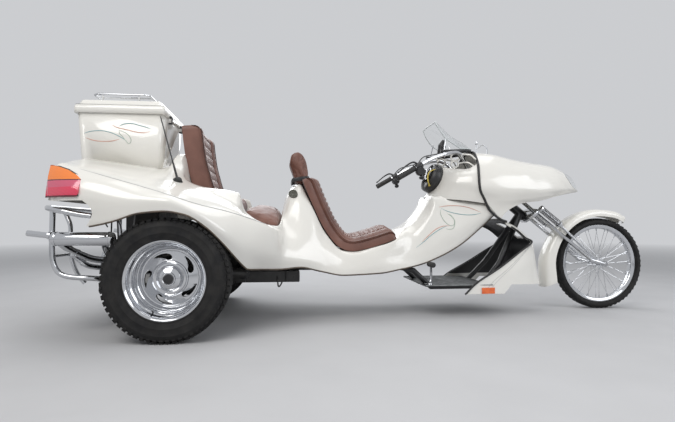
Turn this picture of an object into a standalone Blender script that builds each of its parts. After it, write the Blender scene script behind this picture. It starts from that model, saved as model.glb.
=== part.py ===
"""A three-wheeled motor trike: rear engine, one-piece body shell, long raked springer fork.

Units are metres, +X forward, +Y to the left side, +Z up. Lengths along X are
measured from the rear axle while the pieces are made; the parent empty then
moves the whole trike so that its origin is under the middle of its length.
"""

import math

import bmesh
import bpy
import numpy as np
from mathutils import Matrix, Vector

# Wheels and axles
REAR_TYRE_RADIUS = 0.325
REAR_TYRE_WIDTH = 0.235
REAR_TYRE_BEAD_RADIUS = 0.196
REAR_TRACK_HALF = 0.7325
REAR_RIM_FLANGE_RADIUS = 0.208
REAR_RIM_WIDTH = 0.205
REAR_SLOT_COUNT = 5
FRONT_AXLE_X = 2.914
FRONT_TYRE_RADIUS = 0.330
FRONT_TYRE_WIDTH = 0.094
FRONT_TYRE_BEAD_RADIUS = 0.268
FRONT_RIM_FLANGE_RADIUS = 0.281
FRONT_RIM_WIDTH = 0.056
SPOKES_PER_SET = 9
SPOKE_RADIUS = 0.0024
FRONT_HUB_HALF = 0.036
FRONT_HUB_RADIUS = 0.030
FRONT_AXLE_RADIUS = 0.009
TAILPIPE_END = 0.80

# Steering: the axis lies back from upright by RAKE and passes through NECK
RAKE = math.radians(51.1)
NECK = Vector((2.20, 0.0, 0.788))
CROWN_LOW = 0.205
CROWN_HIGH = -0.245
LEG_SPREAD = 0.085
LEG_OFFSET = 0.050
LEG_RADIUS = 0.013
STEM_RADIUS = 0.0125
ROD_RADIUS = 0.009

# Walls and clearances
SHELL = 0.008
SEAT_GAP = 0.0003
CUT_GAP = 0.0006
RUNNING_GAP = 0.0003

# The deck that carries the trunk is flat and falls forward
DECK_REAR = (-0.60, 1.022)
DECK_FRONT = (-0.16, 0.960)
DECK_HALF = 0.285

# Trunk
BOX_BOTTOM_HALF = 0.245
BOX_TOP_HALF = 0.285
BOX_BOTTOM_X = (-0.645, -0.166)
BOX_TOP_X = (-0.664, -0.147)
BOX_TOP_Z = 1.300
BOX_WALL = 0.010
LID_HEIGHT = 0.090
LID_LIP = 0.013
LID_WALL = 0.008
RACK_HEIGHT = 0.052
HINGE_PLACES = (-0.16, 0.16)
KNUCKLE_HALF = 0.015
PIN_RADIUS = 0.005

# Body details
TAIL_FOOT = 0.739
COWL_WALL = 0.006
SCREEN_WALL = 0.004
EDGING_RADIUS = 0.009
BELL_FACE_X = -0.13
TORSION_X = 0.36
TORSION_HALF = 0.44
TORSION_RADIUS = 0.038
PAN_UNDERSIDE = 0.4300
RAIL_Y = 0.15
FLOOR_RAIL_Z = 0.19
CRADLE_TOP = 0.2150

# Lines of the seat pans, seen from the side: x, height
DRIVER_PATH = (
    (0.722, 0.905), (0.758, 0.815), (0.800, 0.715), (0.850, 0.610), (0.905, 0.525), (0.965, 0.465),
    (1.040, 0.440), (1.130, 0.452), (1.240, 0.483), (1.345, 0.520),
)
PASSENGER_PATH = (
    (-0.035, 1.235), (-0.022, 1.12), (-0.005, 1.01), (0.018, 0.92), (0.045, 0.83), (0.085, 0.745),
    (0.150, 0.700), (0.240, 0.688), (0.330, 0.682),
)

ORIGIN_X = (FRONT_AXLE_X + FRONT_TYRE_RADIUS - TAILPIPE_END) / 2

WHITE = ("white_gelcoat", (0.86, 0.85, 0.82), 0.25, 0.0)
BROWN = ("brown_leather", (0.24, 0.11, 0.075), 0.55, 0.0)
CHROME = ("chrome", (0.78, 0.78, 0.79), 0.12, 1.0)
BLACK = ("black_paint", (0.02, 0.02, 0.022), 0.45, 0.0)
RUBBER = ("black_rubber", (0.022, 0.022, 0.024), 0.75, 0.0)
TYRE = ("tyre_rubber", (0.03, 0.03, 0.032), 0.8, 0.0)
ALLOY = ("cast_alloy", (0.52, 0.52, 0.51), 0.4, 1.0)
AMBER = ("amber_lens", (0.9, 0.25, 0.03), 0.2, 0.0)
RED = ("red_lens", (0.6, 0.03, 0.05), 0.2, 0.0)
GLASS = ("clear_acrylic", (0.8, 0.85, 0.86), 0.05, 0.0)
STEEL = ("plate_steel", (0.42, 0.44, 0.46), 0.35, 1.0)


def clear_scene():
    for old in list(bpy.data.objects):
        bpy.data.objects.remove(old)


def paint(obj, finish):
    """Give the object its own material in the named finish."""
    name, colour, roughness, metallic = finish
    material = bpy.data.materials.new(obj.name + "_" + name)
    material.use_nodes = True
    shader = material.node_tree.nodes["Principled BSDF"]
    shader.inputs["Base Color"].default_value = (*colour, 1.0)
    shader.inputs["Roughness"].default_value = roughness
    shader.inputs["Metallic"].default_value = metallic
    obj.data.materials.clear()
    obj.data.materials.append(material)


def object_from(name, points, faces):
    """A mesh object from points and faces, with its faces turned outwards."""
    mesh = bpy.data.meshes.new(name)
    mesh.from_pydata([tuple(p) for p in points], [], faces)
    work = bmesh.new()
    work.from_mesh(mesh)
    bmesh.ops.recalc_face_normals(work, faces=work.faces)
    work.to_mesh(mesh)
    work.free()
    obj = bpy.data.objects.new(name, mesh)
    bpy.context.scene.collection.objects.link(obj)
    return obj


def ring_solid(name, rings, closed=False, split=False):
    """A solid skinned over rings of points; its two end rings are capped.

    Split halves its quads into flat triangles, as sheet does, so that two nets stay parallel.
    """
    count = len(rings[0])
    points = [p for ring in rings for p in ring]
    faces = []
    spans = len(rings) if closed else len(rings) - 1
    for i in range(spans):
        near, far = i * count, ((i + 1) % len(rings)) * count
        for j in range(count):
            k = (j + 1) % count
            if split:
                faces.append((near + j, near + k, far + k))
                faces.append((near + j, far + k, far + j))
            else:
                faces.append((near + j, near + k, far + k, far + j))
    if not closed:
        faces.append(tuple(range(count)))
        faces.append(tuple(len(points) - count + j for j in range(count)))
    return object_from(name, points, faces)


def turned(name, profile, centre, axis="Y", segments=40):
    """A solid of revolution. The profile is (radius, distance along the axis), a closed loop."""
    rings = []
    for i in range(segments):
        angle = 2 * math.pi * i / segments
        ring = []
        for radius, along in profile:
            a, b = radius * math.cos(angle), radius * math.sin(angle)
            ring.append({"Y": (a, along, b), "X": (along, a, b), "Z": (a, b, along)}[axis])
        rings.append([Vector(p) + Vector(centre) for p in ring])
    return ring_solid(name, rings, closed=True)


def spun_solid(name, profile, centre, axis="Y", segments=40):
    """A solid of revolution whose profile starts and ends on the axis, from one end to the other."""
    inner = profile[1:-1]
    points = [None, None]
    faces = []
    for i in range(segments):
        angle = 2 * math.pi * i / segments
        for radius, along in inner:
            a, b = radius * math.cos(angle), radius * math.sin(angle)
            spot = {"Y": (a, along, b), "X": (along, a, b), "Z": (a, b, along)}[axis]
            points.append(Vector(spot) + Vector(centre))
    for k, (_, along) in enumerate((profile[0], profile[-1])):
        spot = {"Y": (0, along, 0), "X": (along, 0, 0), "Z": (0, 0, along)}[axis]
        points[k] = Vector(spot) + Vector(centre)
    count = len(inner)
    for i in range(segments):
        near, far = 2 + i * count, 2 + ((i + 1) % segments) * count
        faces.append((0, near, far))
        faces.append((1, far + count - 1, near + count - 1))
        for j in range(count - 1):
            faces.append((near + j, near + j + 1, far + j + 1, far + j))
    return object_from(name, points, faces)


def fair(points, steps):
    """Points along a smooth curve through the given ones, with steps to each span."""
    spots = [Vector(p) for p in points]
    ends = [2 * spots[0] - spots[1]] + spots + [2 * spots[-1] - spots[-2]]
    found = []
    for i in range(1, len(ends) - 2):
        p0, p1, p2, p3 = ends[i - 1 : i + 3]
        for k in range(steps):
            t = k / steps
            found.append(
                0.5
                * (
                    2 * p1
                    + (p2 - p0) * t
                    + (2 * p0 - 5 * p1 + 4 * p2 - p3) * t * t
                    + (3 * p1 - p0 - 3 * p2 + p3) * t * t * t
                )
            )
    return found + [spots[-1]]


def tube(name, path, radius, sides=10, end_radius=None):
    """A round bar along a path, carried round its bends without twist."""
    path = [Vector(p) for p in path]
    headings = []
    for i, spot in enumerate(path):
        before = path[max(i - 1, 0)]
        after = path[min(i + 1, len(path) - 1)]
        headings.append((after - before).normalized())
    side = headings[0].orthogonal().normalized()
    rings = []
    for i, (spot, heading) in enumerate(zip(path, headings)):
        side = (side - heading * side.dot(heading)).normalized()
        up = heading.cross(side)
        share = i / (len(path) - 1)
        size = radius if end_radius is None else radius + (end_radius - radius) * share
        rings.append(
            [
                spot
                + size * math.cos(2 * math.pi * k / sides) * side
                + size * math.sin(2 * math.pi * k / sides) * up
                for k in range(sides)
            ]
        )
    return ring_solid(name, rings)


def prism(name, outline, low, high, axis="Y"):
    """A flat outline pushed along an axis. The outline is (x, z) for Y, (x, y) for Z, (y, z) for X."""

    def spot(pair, along):
        a, b = pair
        return {"Y": (a, along, b), "Z": (a, b, along), "X": (along, a, b)}[axis]

    return ring_solid(name, [[spot(p, low) for p in outline], [spot(p, high) for p in outline]])


def block(name, low, high):
    return prism(
        name,
        [(low[0], low[2]), (high[0], low[2]), (high[0], high[2]), (low[0], high[2])],
        low[1],
        high[1],
    )


def apply_modifiers(obj):
    """Make what the modifiers show the object's own mesh."""
    bpy.context.view_layer.update()
    graph = bpy.context.evaluated_depsgraph_get()
    finished = bpy.data.meshes.new_from_object(obj.evaluated_get(graph))
    obj.modifiers.clear()
    old = obj.data
    obj.data = finished
    bpy.data.meshes.remove(old)


def combine(obj, other, operation, solver="EXACT"):
    """Join, cut or keep the common part of two solids; the second one is used up."""
    step = obj.modifiers.new("combine", "BOOLEAN")
    step.operation = operation
    step.solver = solver
    step.object = other
    apply_modifiers(obj)
    bpy.data.objects.remove(other)
    return obj


def cut(obj, *cutters, solver="EXACT"):
    for cutter in cutters:
        combine(obj, cutter, "DIFFERENCE", solver)
    return obj


def join(obj, *others, solver="EXACT"):
    for other in others:
        combine(obj, other, "UNION", solver)
    return obj


def drop_offcuts(obj):
    """Keep the largest body that a cut has left."""
    work = bmesh.new()
    work.from_mesh(obj.data)
    left = set(work.verts)
    groups = []
    while left:
        group, front = set(), [left.pop()]
        while front:
            vertex = front.pop()
            group.add(vertex)
            for edge in vertex.link_edges:
                other = edge.other_vert(vertex)
                if other in left:
                    left.remove(other)
                    front.append(other)
        groups.append(group)

    def reach(group):
        return max(v.co.y for v in group) - min(v.co.y for v in group) + len(group) * 1e-5

    keep = max(groups, key=reach)
    bmesh.ops.delete(work, geom=[v for v in work.verts if v not in keep], context="VERTS")
    work.to_mesh(obj.data)
    work.free()
    return obj


def soften(obj, width, segments=2, angle=40):
    """Round the edges that are sharper than the angle."""
    step = obj.modifiers.new("soften", "BEVEL")
    step.width = width
    step.segments = segments
    step.limit_method = "ANGLE"
    step.angle_limit = math.radians(angle)
    apply_modifiers(obj)
    return obj


def offset_rows(rows, distance):
    """The same net of points moved out along its own normals."""
    moved = []
    last, width = len(rows) - 1, len(rows[0]) - 1
    for i, row in enumerate(rows):
        line = []
        for j, spot in enumerate(row):
            along = rows[min(i + 1, last)][j] - rows[max(i - 1, 0)][j]
            across = row[min(j + 1, width)] - row[max(j - 1, 0)]
            line.append(spot + along.cross(across).normalized() * distance)
        moved.append(line)
    return moved


def sheet(name, rows, wall):
    """A wall of even thickness under a net of points that runs from tail to nose and right to left."""
    outer, inner = rows, offset_rows(rows, -wall)
    high, wide = len(rows), len(rows[0])
    points = [p for row in outer for p in row] + [p for row in inner for p in row]
    under = high * wide
    faces = []
    for i in range(high - 1):
        for j in range(wide - 1):
            a = i * wide + j
            for half in ((a, a + 1, a + wide + 1), (a, a + wide + 1, a + wide)):
                faces.append(half)
                faces.append(tuple(under + k for k in reversed(half)))
    border = [(0, j) for j in range(wide)] + [(i, wide - 1) for i in range(1, high)]
    border += [(high - 1, j) for j in range(wide - 2, -1, -1)] + [(i, 0) for i in range(high - 2, 0, -1)]
    ring = [i * wide + j for i, j in border]
    for near, far in zip(ring, ring[1:] + ring[:1]):
        faces.append((near, far, under + far, under + near))
    return object_from(name, points, faces)


def filled(name, rows, grow, depth=-0.3):
    """All that lies under a net of points, grown outwards: it cuts what seats on the net."""
    rings = []
    for row in offset_rows(rows, grow):
        right, left = row[0], row[-1]
        rings.append(row + [Vector((left.x, left.y, depth)), Vector((right.x, right.y, depth))])
    return ring_solid(name, rings, split=True)


def grown_copy(obj, gap=CUT_GAP):
    """A copy of a solid with its surface moved out, which leaves that gap when it cuts a neighbour."""
    copy = obj.copy()
    copy.data = obj.data.copy()
    bpy.context.scene.collection.objects.link(copy)
    work = bmesh.new()
    work.from_mesh(copy.data)
    work.normal_update()
    for vertex in work.verts:
        vertex.co += vertex.normal * gap
    work.to_mesh(copy.data)
    work.free()
    return copy


def net_rows(guides, steps_along, steps_across):
    """Rows of points over a net of guide curves on the right side, mirrored to the left."""
    curves = [fair(guide, steps_along) for guide in guides]
    rows = []
    for column in zip(*curves):
        half = fair(column, steps_across)
        right = [Vector((p.x, -abs(p.y), p.z)) for p in half]
        left = [Vector((p.x, abs(p.y), p.z)) for p in half[1:]]
        rows.append(list(reversed(right)) + left)
    return rows


class Guide:
    """A smooth line of the body: y and z at any x, through its own points and without overshoot."""

    def __init__(self, *points):
        self.points = np.array(points, float)

    def at(self, x):
        xs = self.points[:, 0]
        x = min(max(x, xs[0]), xs[-1])
        return Vector((x, self.value(x, 1), self.value(x, 2)))

    def value(self, x, column):
        xs, vs = self.points[:, 0], self.points[:, column]
        i = int(np.clip(np.searchsorted(xs, x) - 1, 0, len(xs) - 2))
        widths = np.diff(xs)
        slopes = np.diff(vs) / widths
        left, right = self.slope_at(i, slopes, widths), self.slope_at(i + 1, slopes, widths)
        t = (x - xs[i]) / widths[i]
        rise = vs[i + 1] - vs[i]
        a = left * widths[i]
        b = right * widths[i]
        return vs[i] + t * a + t * t * (3 * rise - 2 * a - b) + t**3 * (a + b - 2 * rise)

    @staticmethod
    def slope_at(i, slopes, widths):
        if i == 0:
            return slopes[0]
        if i == len(slopes):
            return slopes[-1]
        before, after = slopes[i - 1], slopes[i]
        if before * after <= 0:
            return 0.0
        w1 = 2 * widths[i] + widths[i - 1]
        w2 = widths[i] + 2 * widths[i - 1]
        return (w1 + w2) / (w1 / before + w2 / after)


def smooth(obj, angle=35):
    obj.data.shade_smooth()
    obj.data.set_sharp_from_angle(angle=math.radians(angle))


def finish(obj, look, parent, angle=35):
    """Paint and smooth a piece and hang it on its parent, keeping its place."""
    paint(obj, look)
    smooth(obj, angle)
    obj.parent = parent
    if parent is not TRIKE:
        obj.location = -parent.location
        step = parent.parent
        while step is not None and step is not TRIKE:
            obj.location -= step.location
            step = step.parent
    return obj


def empty(name, place, parent=None):
    obj = bpy.data.objects.new(name, None)
    bpy.context.scene.collection.objects.link(obj)
    obj.location = Vector(place)
    obj.parent = parent
    return obj


clear_scene()
TRIKE = empty("trike", (-ORIGIN_X, 0, 0))


# The steering axis runs up and back from the lower fork crown
def steer_point(along, out=0.0, ahead=0.0):
    """A point given by its distance down the steering axis, to the left, and ahead of the axis."""
    down = Vector((math.sin(RAKE), 0, -math.cos(RAKE)))
    forward = Vector((math.cos(RAKE), 0, math.sin(RAKE)))
    return NECK + down * along + forward * ahead + Vector((0, out, 0))


STEERING = empty("steering_axis", NECK, TRIKE)
FRONT_HUB = Vector((FRONT_AXLE_X, 0, FRONT_TYRE_RADIUS))
FRONT_WHEEL = empty("front_wheel_axis", FRONT_HUB - NECK, STEERING)
LID_HINGE = Vector((BOX_TOP_X[1] + LID_LIP + 0.006, 0, BOX_TOP_Z + 0.004))
LID = empty("lid_hinge_axis", LID_HINGE, TRIKE)


def tyre_profile(radius, width, bead):
    """Half of a tyre's section, mirrored: bead, bulging sidewall, shoulder and crown."""
    depth = radius - bead
    half = [
        (bead, 0.36),
        (bead + 0.16 * depth, 0.45),
        (bead + 0.42 * depth, 0.50),
        (bead + 0.74 * depth, 0.475),
        (bead + 0.93 * depth, 0.40),
        (radius - 0.002, 0.28),
    ]
    right = [(r, share * width) for r, share in half]
    left = [(r, -y) for r, y in reversed(right)]
    return right + [(radius, 0.0)] + left


def front_tyre_profile():
    """A motorcycle tyre is round in section right across its tread."""
    half = FRONT_TYRE_WIDTH / 2
    middle = (FRONT_TYRE_RADIUS + FRONT_TYRE_BEAD_RADIUS) / 2 + 0.004
    rise = FRONT_TYRE_RADIUS - middle
    arc = []
    for i in range(7):
        angle = math.radians(-20 + 220 * i / 6)
        arc.append((middle + rise * math.sin(angle), half * math.cos(angle)))
    grip = FRONT_RIM_WIDTH / 2 - 0.0075
    clear = FRONT_RIM_FLANGE_RADIUS + 0.0015
    start = [(FRONT_TYRE_BEAD_RADIUS, grip), (clear, grip + 0.002)]
    return start + arc + [(r, -y) for r, y in reversed(start)]


def rear_rim(name, centre, side):
    """A deep-dished cast wheel: barrel, stepped lip, slotted disc and domed centre."""
    flange, half = REAR_RIM_FLANGE_RADIUS, REAR_RIM_WIDTH / 2
    bead = REAR_TYRE_BEAD_RADIUS - 0.001
    shape = [
        (0.0, 0.022),
        (0.030, 0.022),
        (0.034, 0.012),
        (0.062, 0.006),
        (0.068, -0.014),
        (0.090, -0.026),
        (0.148, -0.040),
        (0.156, -0.044),
        (0.172, -0.004),
        (0.177, 0.050),
        (0.187, 0.058),
        (0.189, half - 0.010),
        (flange, half + 0.002),
        (flange, half - 0.004),
        (bead, half - 0.014),
        (bead, -half + 0.014),
        (flange, -half + 0.004),
        (flange, -half - 0.002),
        (0.186, -half + 0.010),
        (0.176, -0.055),
        (0.150, -0.058),
        (0.070, -0.050),
        (0.066, -0.040),
        (0.0, -0.040),
    ]
    rim = spun_solid(name, [(r, side * y) for r, y in shape], centre, segments=28)
    for i in range(REAR_SLOT_COUNT):
        start = 2 * math.pi * i / REAR_SLOT_COUNT
        outline = []
        for turn, radius in (
            (0, 0.104), (12, 0.108), (26, 0.124), (34, 0.140), (18, 0.142), (2, 0.136), (-5, 0.120),
        ):
            angle = start + side * math.radians(turn)
            outline.append((centre[0] + radius * math.cos(angle), centre[2] + radius * math.sin(angle)))
        cut(rim, prism("slot", outline, centre[1] - 0.09, centre[1] + 0.09), solver="MANIFOLD")
    return rim


def rear_wheel(word, side):
    place = Vector((0, side * REAR_TRACK_HALF, REAR_TYRE_RADIUS))
    axle = empty("rear_wheel_axis_" + word, place, TRIKE)
    profile = tyre_profile(REAR_TYRE_RADIUS, REAR_TYRE_WIDTH, REAR_TYRE_BEAD_RADIUS)
    finish(turned("rear_tyre_" + word, profile, place, segments=28), TYRE, axle)
    finish(rear_rim("rear_rim_" + word, place, side), CHROME, axle, 28)


def spokes():
    """Four laced sets: two hub flanges, each with spokes leaning both ways."""
    points, faces = [], []
    sides = 3
    for flange in (-1, 1):
        for lean in (-1, 1):
            for i in range(SPOKES_PER_SET):
                shift = 0.25 * (lean + 1) + 0.5 * (flange + 1) / 2
                angle = 2 * math.pi * (i + shift) / SPOKES_PER_SET
                far = angle + lean * math.radians(34)
                out = flange * (FRONT_HUB_HALF - 0.004 + 0.0045 * lean)
                inner = Vector((0.024 * math.cos(angle), out, 0.024 * math.sin(angle)))
                reach = FRONT_TYRE_BEAD_RADIUS - 0.004
                outer = Vector((reach * math.cos(far), flange * 0.006, reach * math.sin(far)))
                heading = (outer - inner).normalized()
                a = heading.orthogonal().normalized()
                b = heading.cross(a)
                base = len(points)
                for end in (inner, outer):
                    for k in range(sides):
                        turn = 2 * math.pi * k / sides
                        offset = SPOKE_RADIUS * (math.cos(turn) * a + math.sin(turn) * b)
                        points.append(FRONT_HUB + end + offset)
                for k in range(sides):
                    m = (k + 1) % sides
                    faces.append((base + k, base + m, base + sides + m, base + sides + k))
                faces.append(tuple(base + k for k in range(sides)))
                faces.append(tuple(base + sides + k for k in range(sides)))
    return object_from("spokes", points, faces)


def front_wheel():
    finish(turned("front_tyre", front_tyre_profile(), FRONT_HUB, segments=32), TYRE, FRONT_WHEEL)
    half = FRONT_RIM_WIDTH / 2
    bead = FRONT_TYRE_BEAD_RADIUS - 0.001
    inner = bead - 0.010
    profile = [
        (inner, 0.010),
        (inner + 0.004, half - 0.006),
        (FRONT_RIM_FLANGE_RADIUS, half),
        (FRONT_RIM_FLANGE_RADIUS, half - 0.003),
        (bead, half - 0.007),
        (bead, -half + 0.007),
        (FRONT_RIM_FLANGE_RADIUS, -half + 0.003),
        (FRONT_RIM_FLANGE_RADIUS, -half),
        (inner + 0.004, -half + 0.006),
        (inner, -0.010),
    ]
    rim = turned("front_rim", profile, FRONT_HUB, segments=32)
    flange = FRONT_HUB_HALF
    bore = (FRONT_AXLE_RADIUS + RUNNING_GAP) / math.cos(math.pi / 10)
    hub = [
        (bore, flange + 0.010),
        (0.018, flange + 0.010),
        (0.018, flange + 0.003),
        (FRONT_HUB_RADIUS, flange + 0.003),
        (FRONT_HUB_RADIUS, flange - 0.012),
        (0.018, flange - 0.016),
        (0.018, -flange + 0.016),
        (FRONT_HUB_RADIUS, -flange + 0.012),
        (FRONT_HUB_RADIUS, -flange - 0.003),
        (0.018, -flange - 0.003),
        (0.018, -flange - 0.010),
        (bore, -flange - 0.010),
    ]
    join(rim, spokes(), turned("hub", hub, FRONT_HUB, segments=10))
    finish(rim, CHROME, FRONT_WHEEL)


def fork(fender):
    """Rigid rear legs between two crowns, with rockers that carry the axle ahead of them."""
    leg_end = 0.752
    legs = []
    for side in (-1, 1):
        top = steer_point(CROWN_HIGH - 0.02, side * LEG_SPREAD, LEG_OFFSET)
        end = steer_point(leg_end, side * LEG_SPREAD, LEG_OFFSET)
        legs.append(tube("leg", [top, end], LEG_RADIUS, sides=10))
        rocker = [end + Vector((-0.012, 0, 0.004)), FRONT_HUB + Vector((0, side * LEG_SPREAD, 0))]
        bar = tube("rocker", rocker, 0.015, sides=8)
        legs.append(bar)
        eye = [(0, -0.009), (0.022, -0.009), (0.022, 0.009), (0, 0.009)]
        legs.append(spun_solid("eye", eye, FRONT_HUB + Vector((0, side * LEG_SPREAD, 0)), segments=10))
    axle = tube(
        "axle",
        [FRONT_HUB - Vector((0, LEG_SPREAD + 0.014, 0)), FRONT_HUB + Vector((0, LEG_SPREAD + 0.014, 0))],
        FRONT_AXLE_RADIUS,
        sides=12,
    )
    stem = tube("stem", [steer_point(CROWN_HIGH), steer_point(CROWN_LOW)], STEM_RADIUS, sides=12)
    body = stem
    for along in (CROWN_LOW, CROWN_HIGH):
        plate = []
        for ahead, out in (
            (-0.03, 0.035), (LEG_OFFSET - 0.02, 0.11), (LEG_OFFSET + 0.022, 0.11),
            (LEG_OFFSET + 0.03, 0.04),
        ):
            plate.append((ahead, out))
        outline = plate + [(a, -o) for a, o in reversed(plate)]
        rings = [
            [steer_point(along + t, o, a) for a, o in outline]
            for t in (-0.012, 0.012)
        ]
        join(body, ring_solid("crown", rings), solver="MANIFOLD")
    join(body, *legs, axle, solver="MANIFOLD")
    for side in (-1, 1):
        boss = steer_point(0.470, side * LEG_SPREAD, LEG_OFFSET)
        join(
            body, tube("boss", [boss, boss - Vector((0, side * 0.030, 0))], 0.010, sides=8),
            solver="MANIFOLD",
        )
    cut(body, grown_copy(fender), solver="MANIFOLD")
    body.name = "fork"
    return drop_offcuts(body)


def spring_leg(word, side, fork_solid):
    """The sprung front rod, its coil and the two cups that hold it."""
    top = steer_point(CROWN_LOW + 0.016, side * LEG_SPREAD, LEG_OFFSET + 0.048)
    seat = steer_point(CROWN_LOW + 0.190, side * LEG_SPREAD, LEG_OFFSET + 0.050)
    foot = FRONT_HUB + Vector((-0.052, side * LEG_SPREAD, 0.018))
    down = (seat - top).normalized()
    rod = tube("rod", [top, seat, foot], ROD_RADIUS, sides=7)
    a = Vector((0, 1, 0))
    b = down.cross(a)
    turns, per_turn, coil_radius, wire = 7, 6, 0.0215, 0.0036
    path = []
    for i in range(turns * per_turn + 1):
        angle = 2 * math.pi * i / per_turn
        share = i / (turns * per_turn)
        path.append(
            top + (seat - top) * (0.04 + 0.92 * share) + coil_radius * (
                math.cos(angle) * a + math.sin(angle) * b
            )
        )
    coil = tube("coil", path, wire, sides=4)
    for spot in (top, seat):
        cup = tube("cup", [spot - down * 0.006, spot + down * 0.006], 0.026, sides=12)
        join(rod, cup)
    join(rod, coil)
    rod.name = "spring_leg_" + word
    return drop_offcuts(cut(rod, grown_copy(fork_solid), solver="MANIFOLD"))


def handlebar(fork_solid):
    """Pull-back bars on two risers, swept down and back to the grips."""
    clamp = steer_point(-0.300, 0, 0.030)
    path = [
        Vector((clamp.x, -0.03, clamp.z)),
        Vector((clamp.x - 0.02, -0.09, clamp.z)),
        Vector((1.885, -0.130, 1.003)),
        Vector((1.835, -0.163, 1.060)),
        Vector((1.780, -0.212, 1.098)),
        Vector((1.70, -0.265, 1.088)),
        Vector((1.58, -0.315, 1.050)),
        Vector((1.44, -0.352, 0.975)),
        Vector((1.335, -0.365, 0.915)),
    ]
    half = fair(path, 2)
    full = [Vector((p.x, -p.y, p.z)) for p in reversed(half)] + half
    bar = tube("handlebar", full, 0.0125, sides=8)
    for side in (-1, 1):
        foot = steer_point(-0.250, side * 0.05, 0.03)
        riser = tube("riser", [foot, clamp + Vector((0, side * 0.05, 0.004))], 0.015, sides=10)
        join(bar, riser, solver="MANIFOLD")
    cut(bar, grown_copy(fork_solid), solver="MANIFOLD")
    return bar, half


def grip(word, side, half_path, bar):
    path = [Vector((p.x, -side * p.y, p.z)) for p in half_path[-3:]]
    path.append(path[-1] + (path[-1] - path[-2]).normalized() * 0.012)
    return cut(tube("grip_" + word, path, 0.019, sides=10), grown_copy(bar), solver="MANIFOLD")


def front_fender():
    """A deep fender that hugs the tyre and flares away from it at the tail."""
    stations = [(-59, 0.398, 0.060), (-75, 0.400, 0.064), (-100, 0.398, 0.067), (-125, 0.405, 0.069)]
    stations += [(-150, 0.414, 0.070), (-175, 0.438, 0.074), (-201, 0.472, 0.074)]
    rows = []
    for turn, crest, half in stations:
        angle = math.radians(-turn)
        edge = 0.346 + 0.45 * (crest - 0.398)
        arc = []
        for y_share, r_share in ((0, 1), (0.45, 0.965), (0.8, 0.82), (0.97, 0.50), (1.0, 0.0)):
            radius = edge + (crest - edge) * r_share
            arc.append(
                FRONT_HUB + Vector((radius * math.cos(angle), -half * y_share, radius * math.sin(angle)))
            )
        rows.append(arc)
    guides = [[row[i] for row in rows] for i in range(5)]
    net = [list(reversed(row)) for row in net_rows(guides, 3, 1)]
    return sheet("front_fender", net, 0.005)


# Body guide lines, right side, from tail to neck: x, distance from the middle, height
def deck_height(x):
    share = (x - DECK_REAR[0]) / (DECK_FRONT[0] - DECK_REAR[0])
    return DECK_REAR[1] + share * (DECK_FRONT[1] - DECK_REAR[1])


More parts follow.
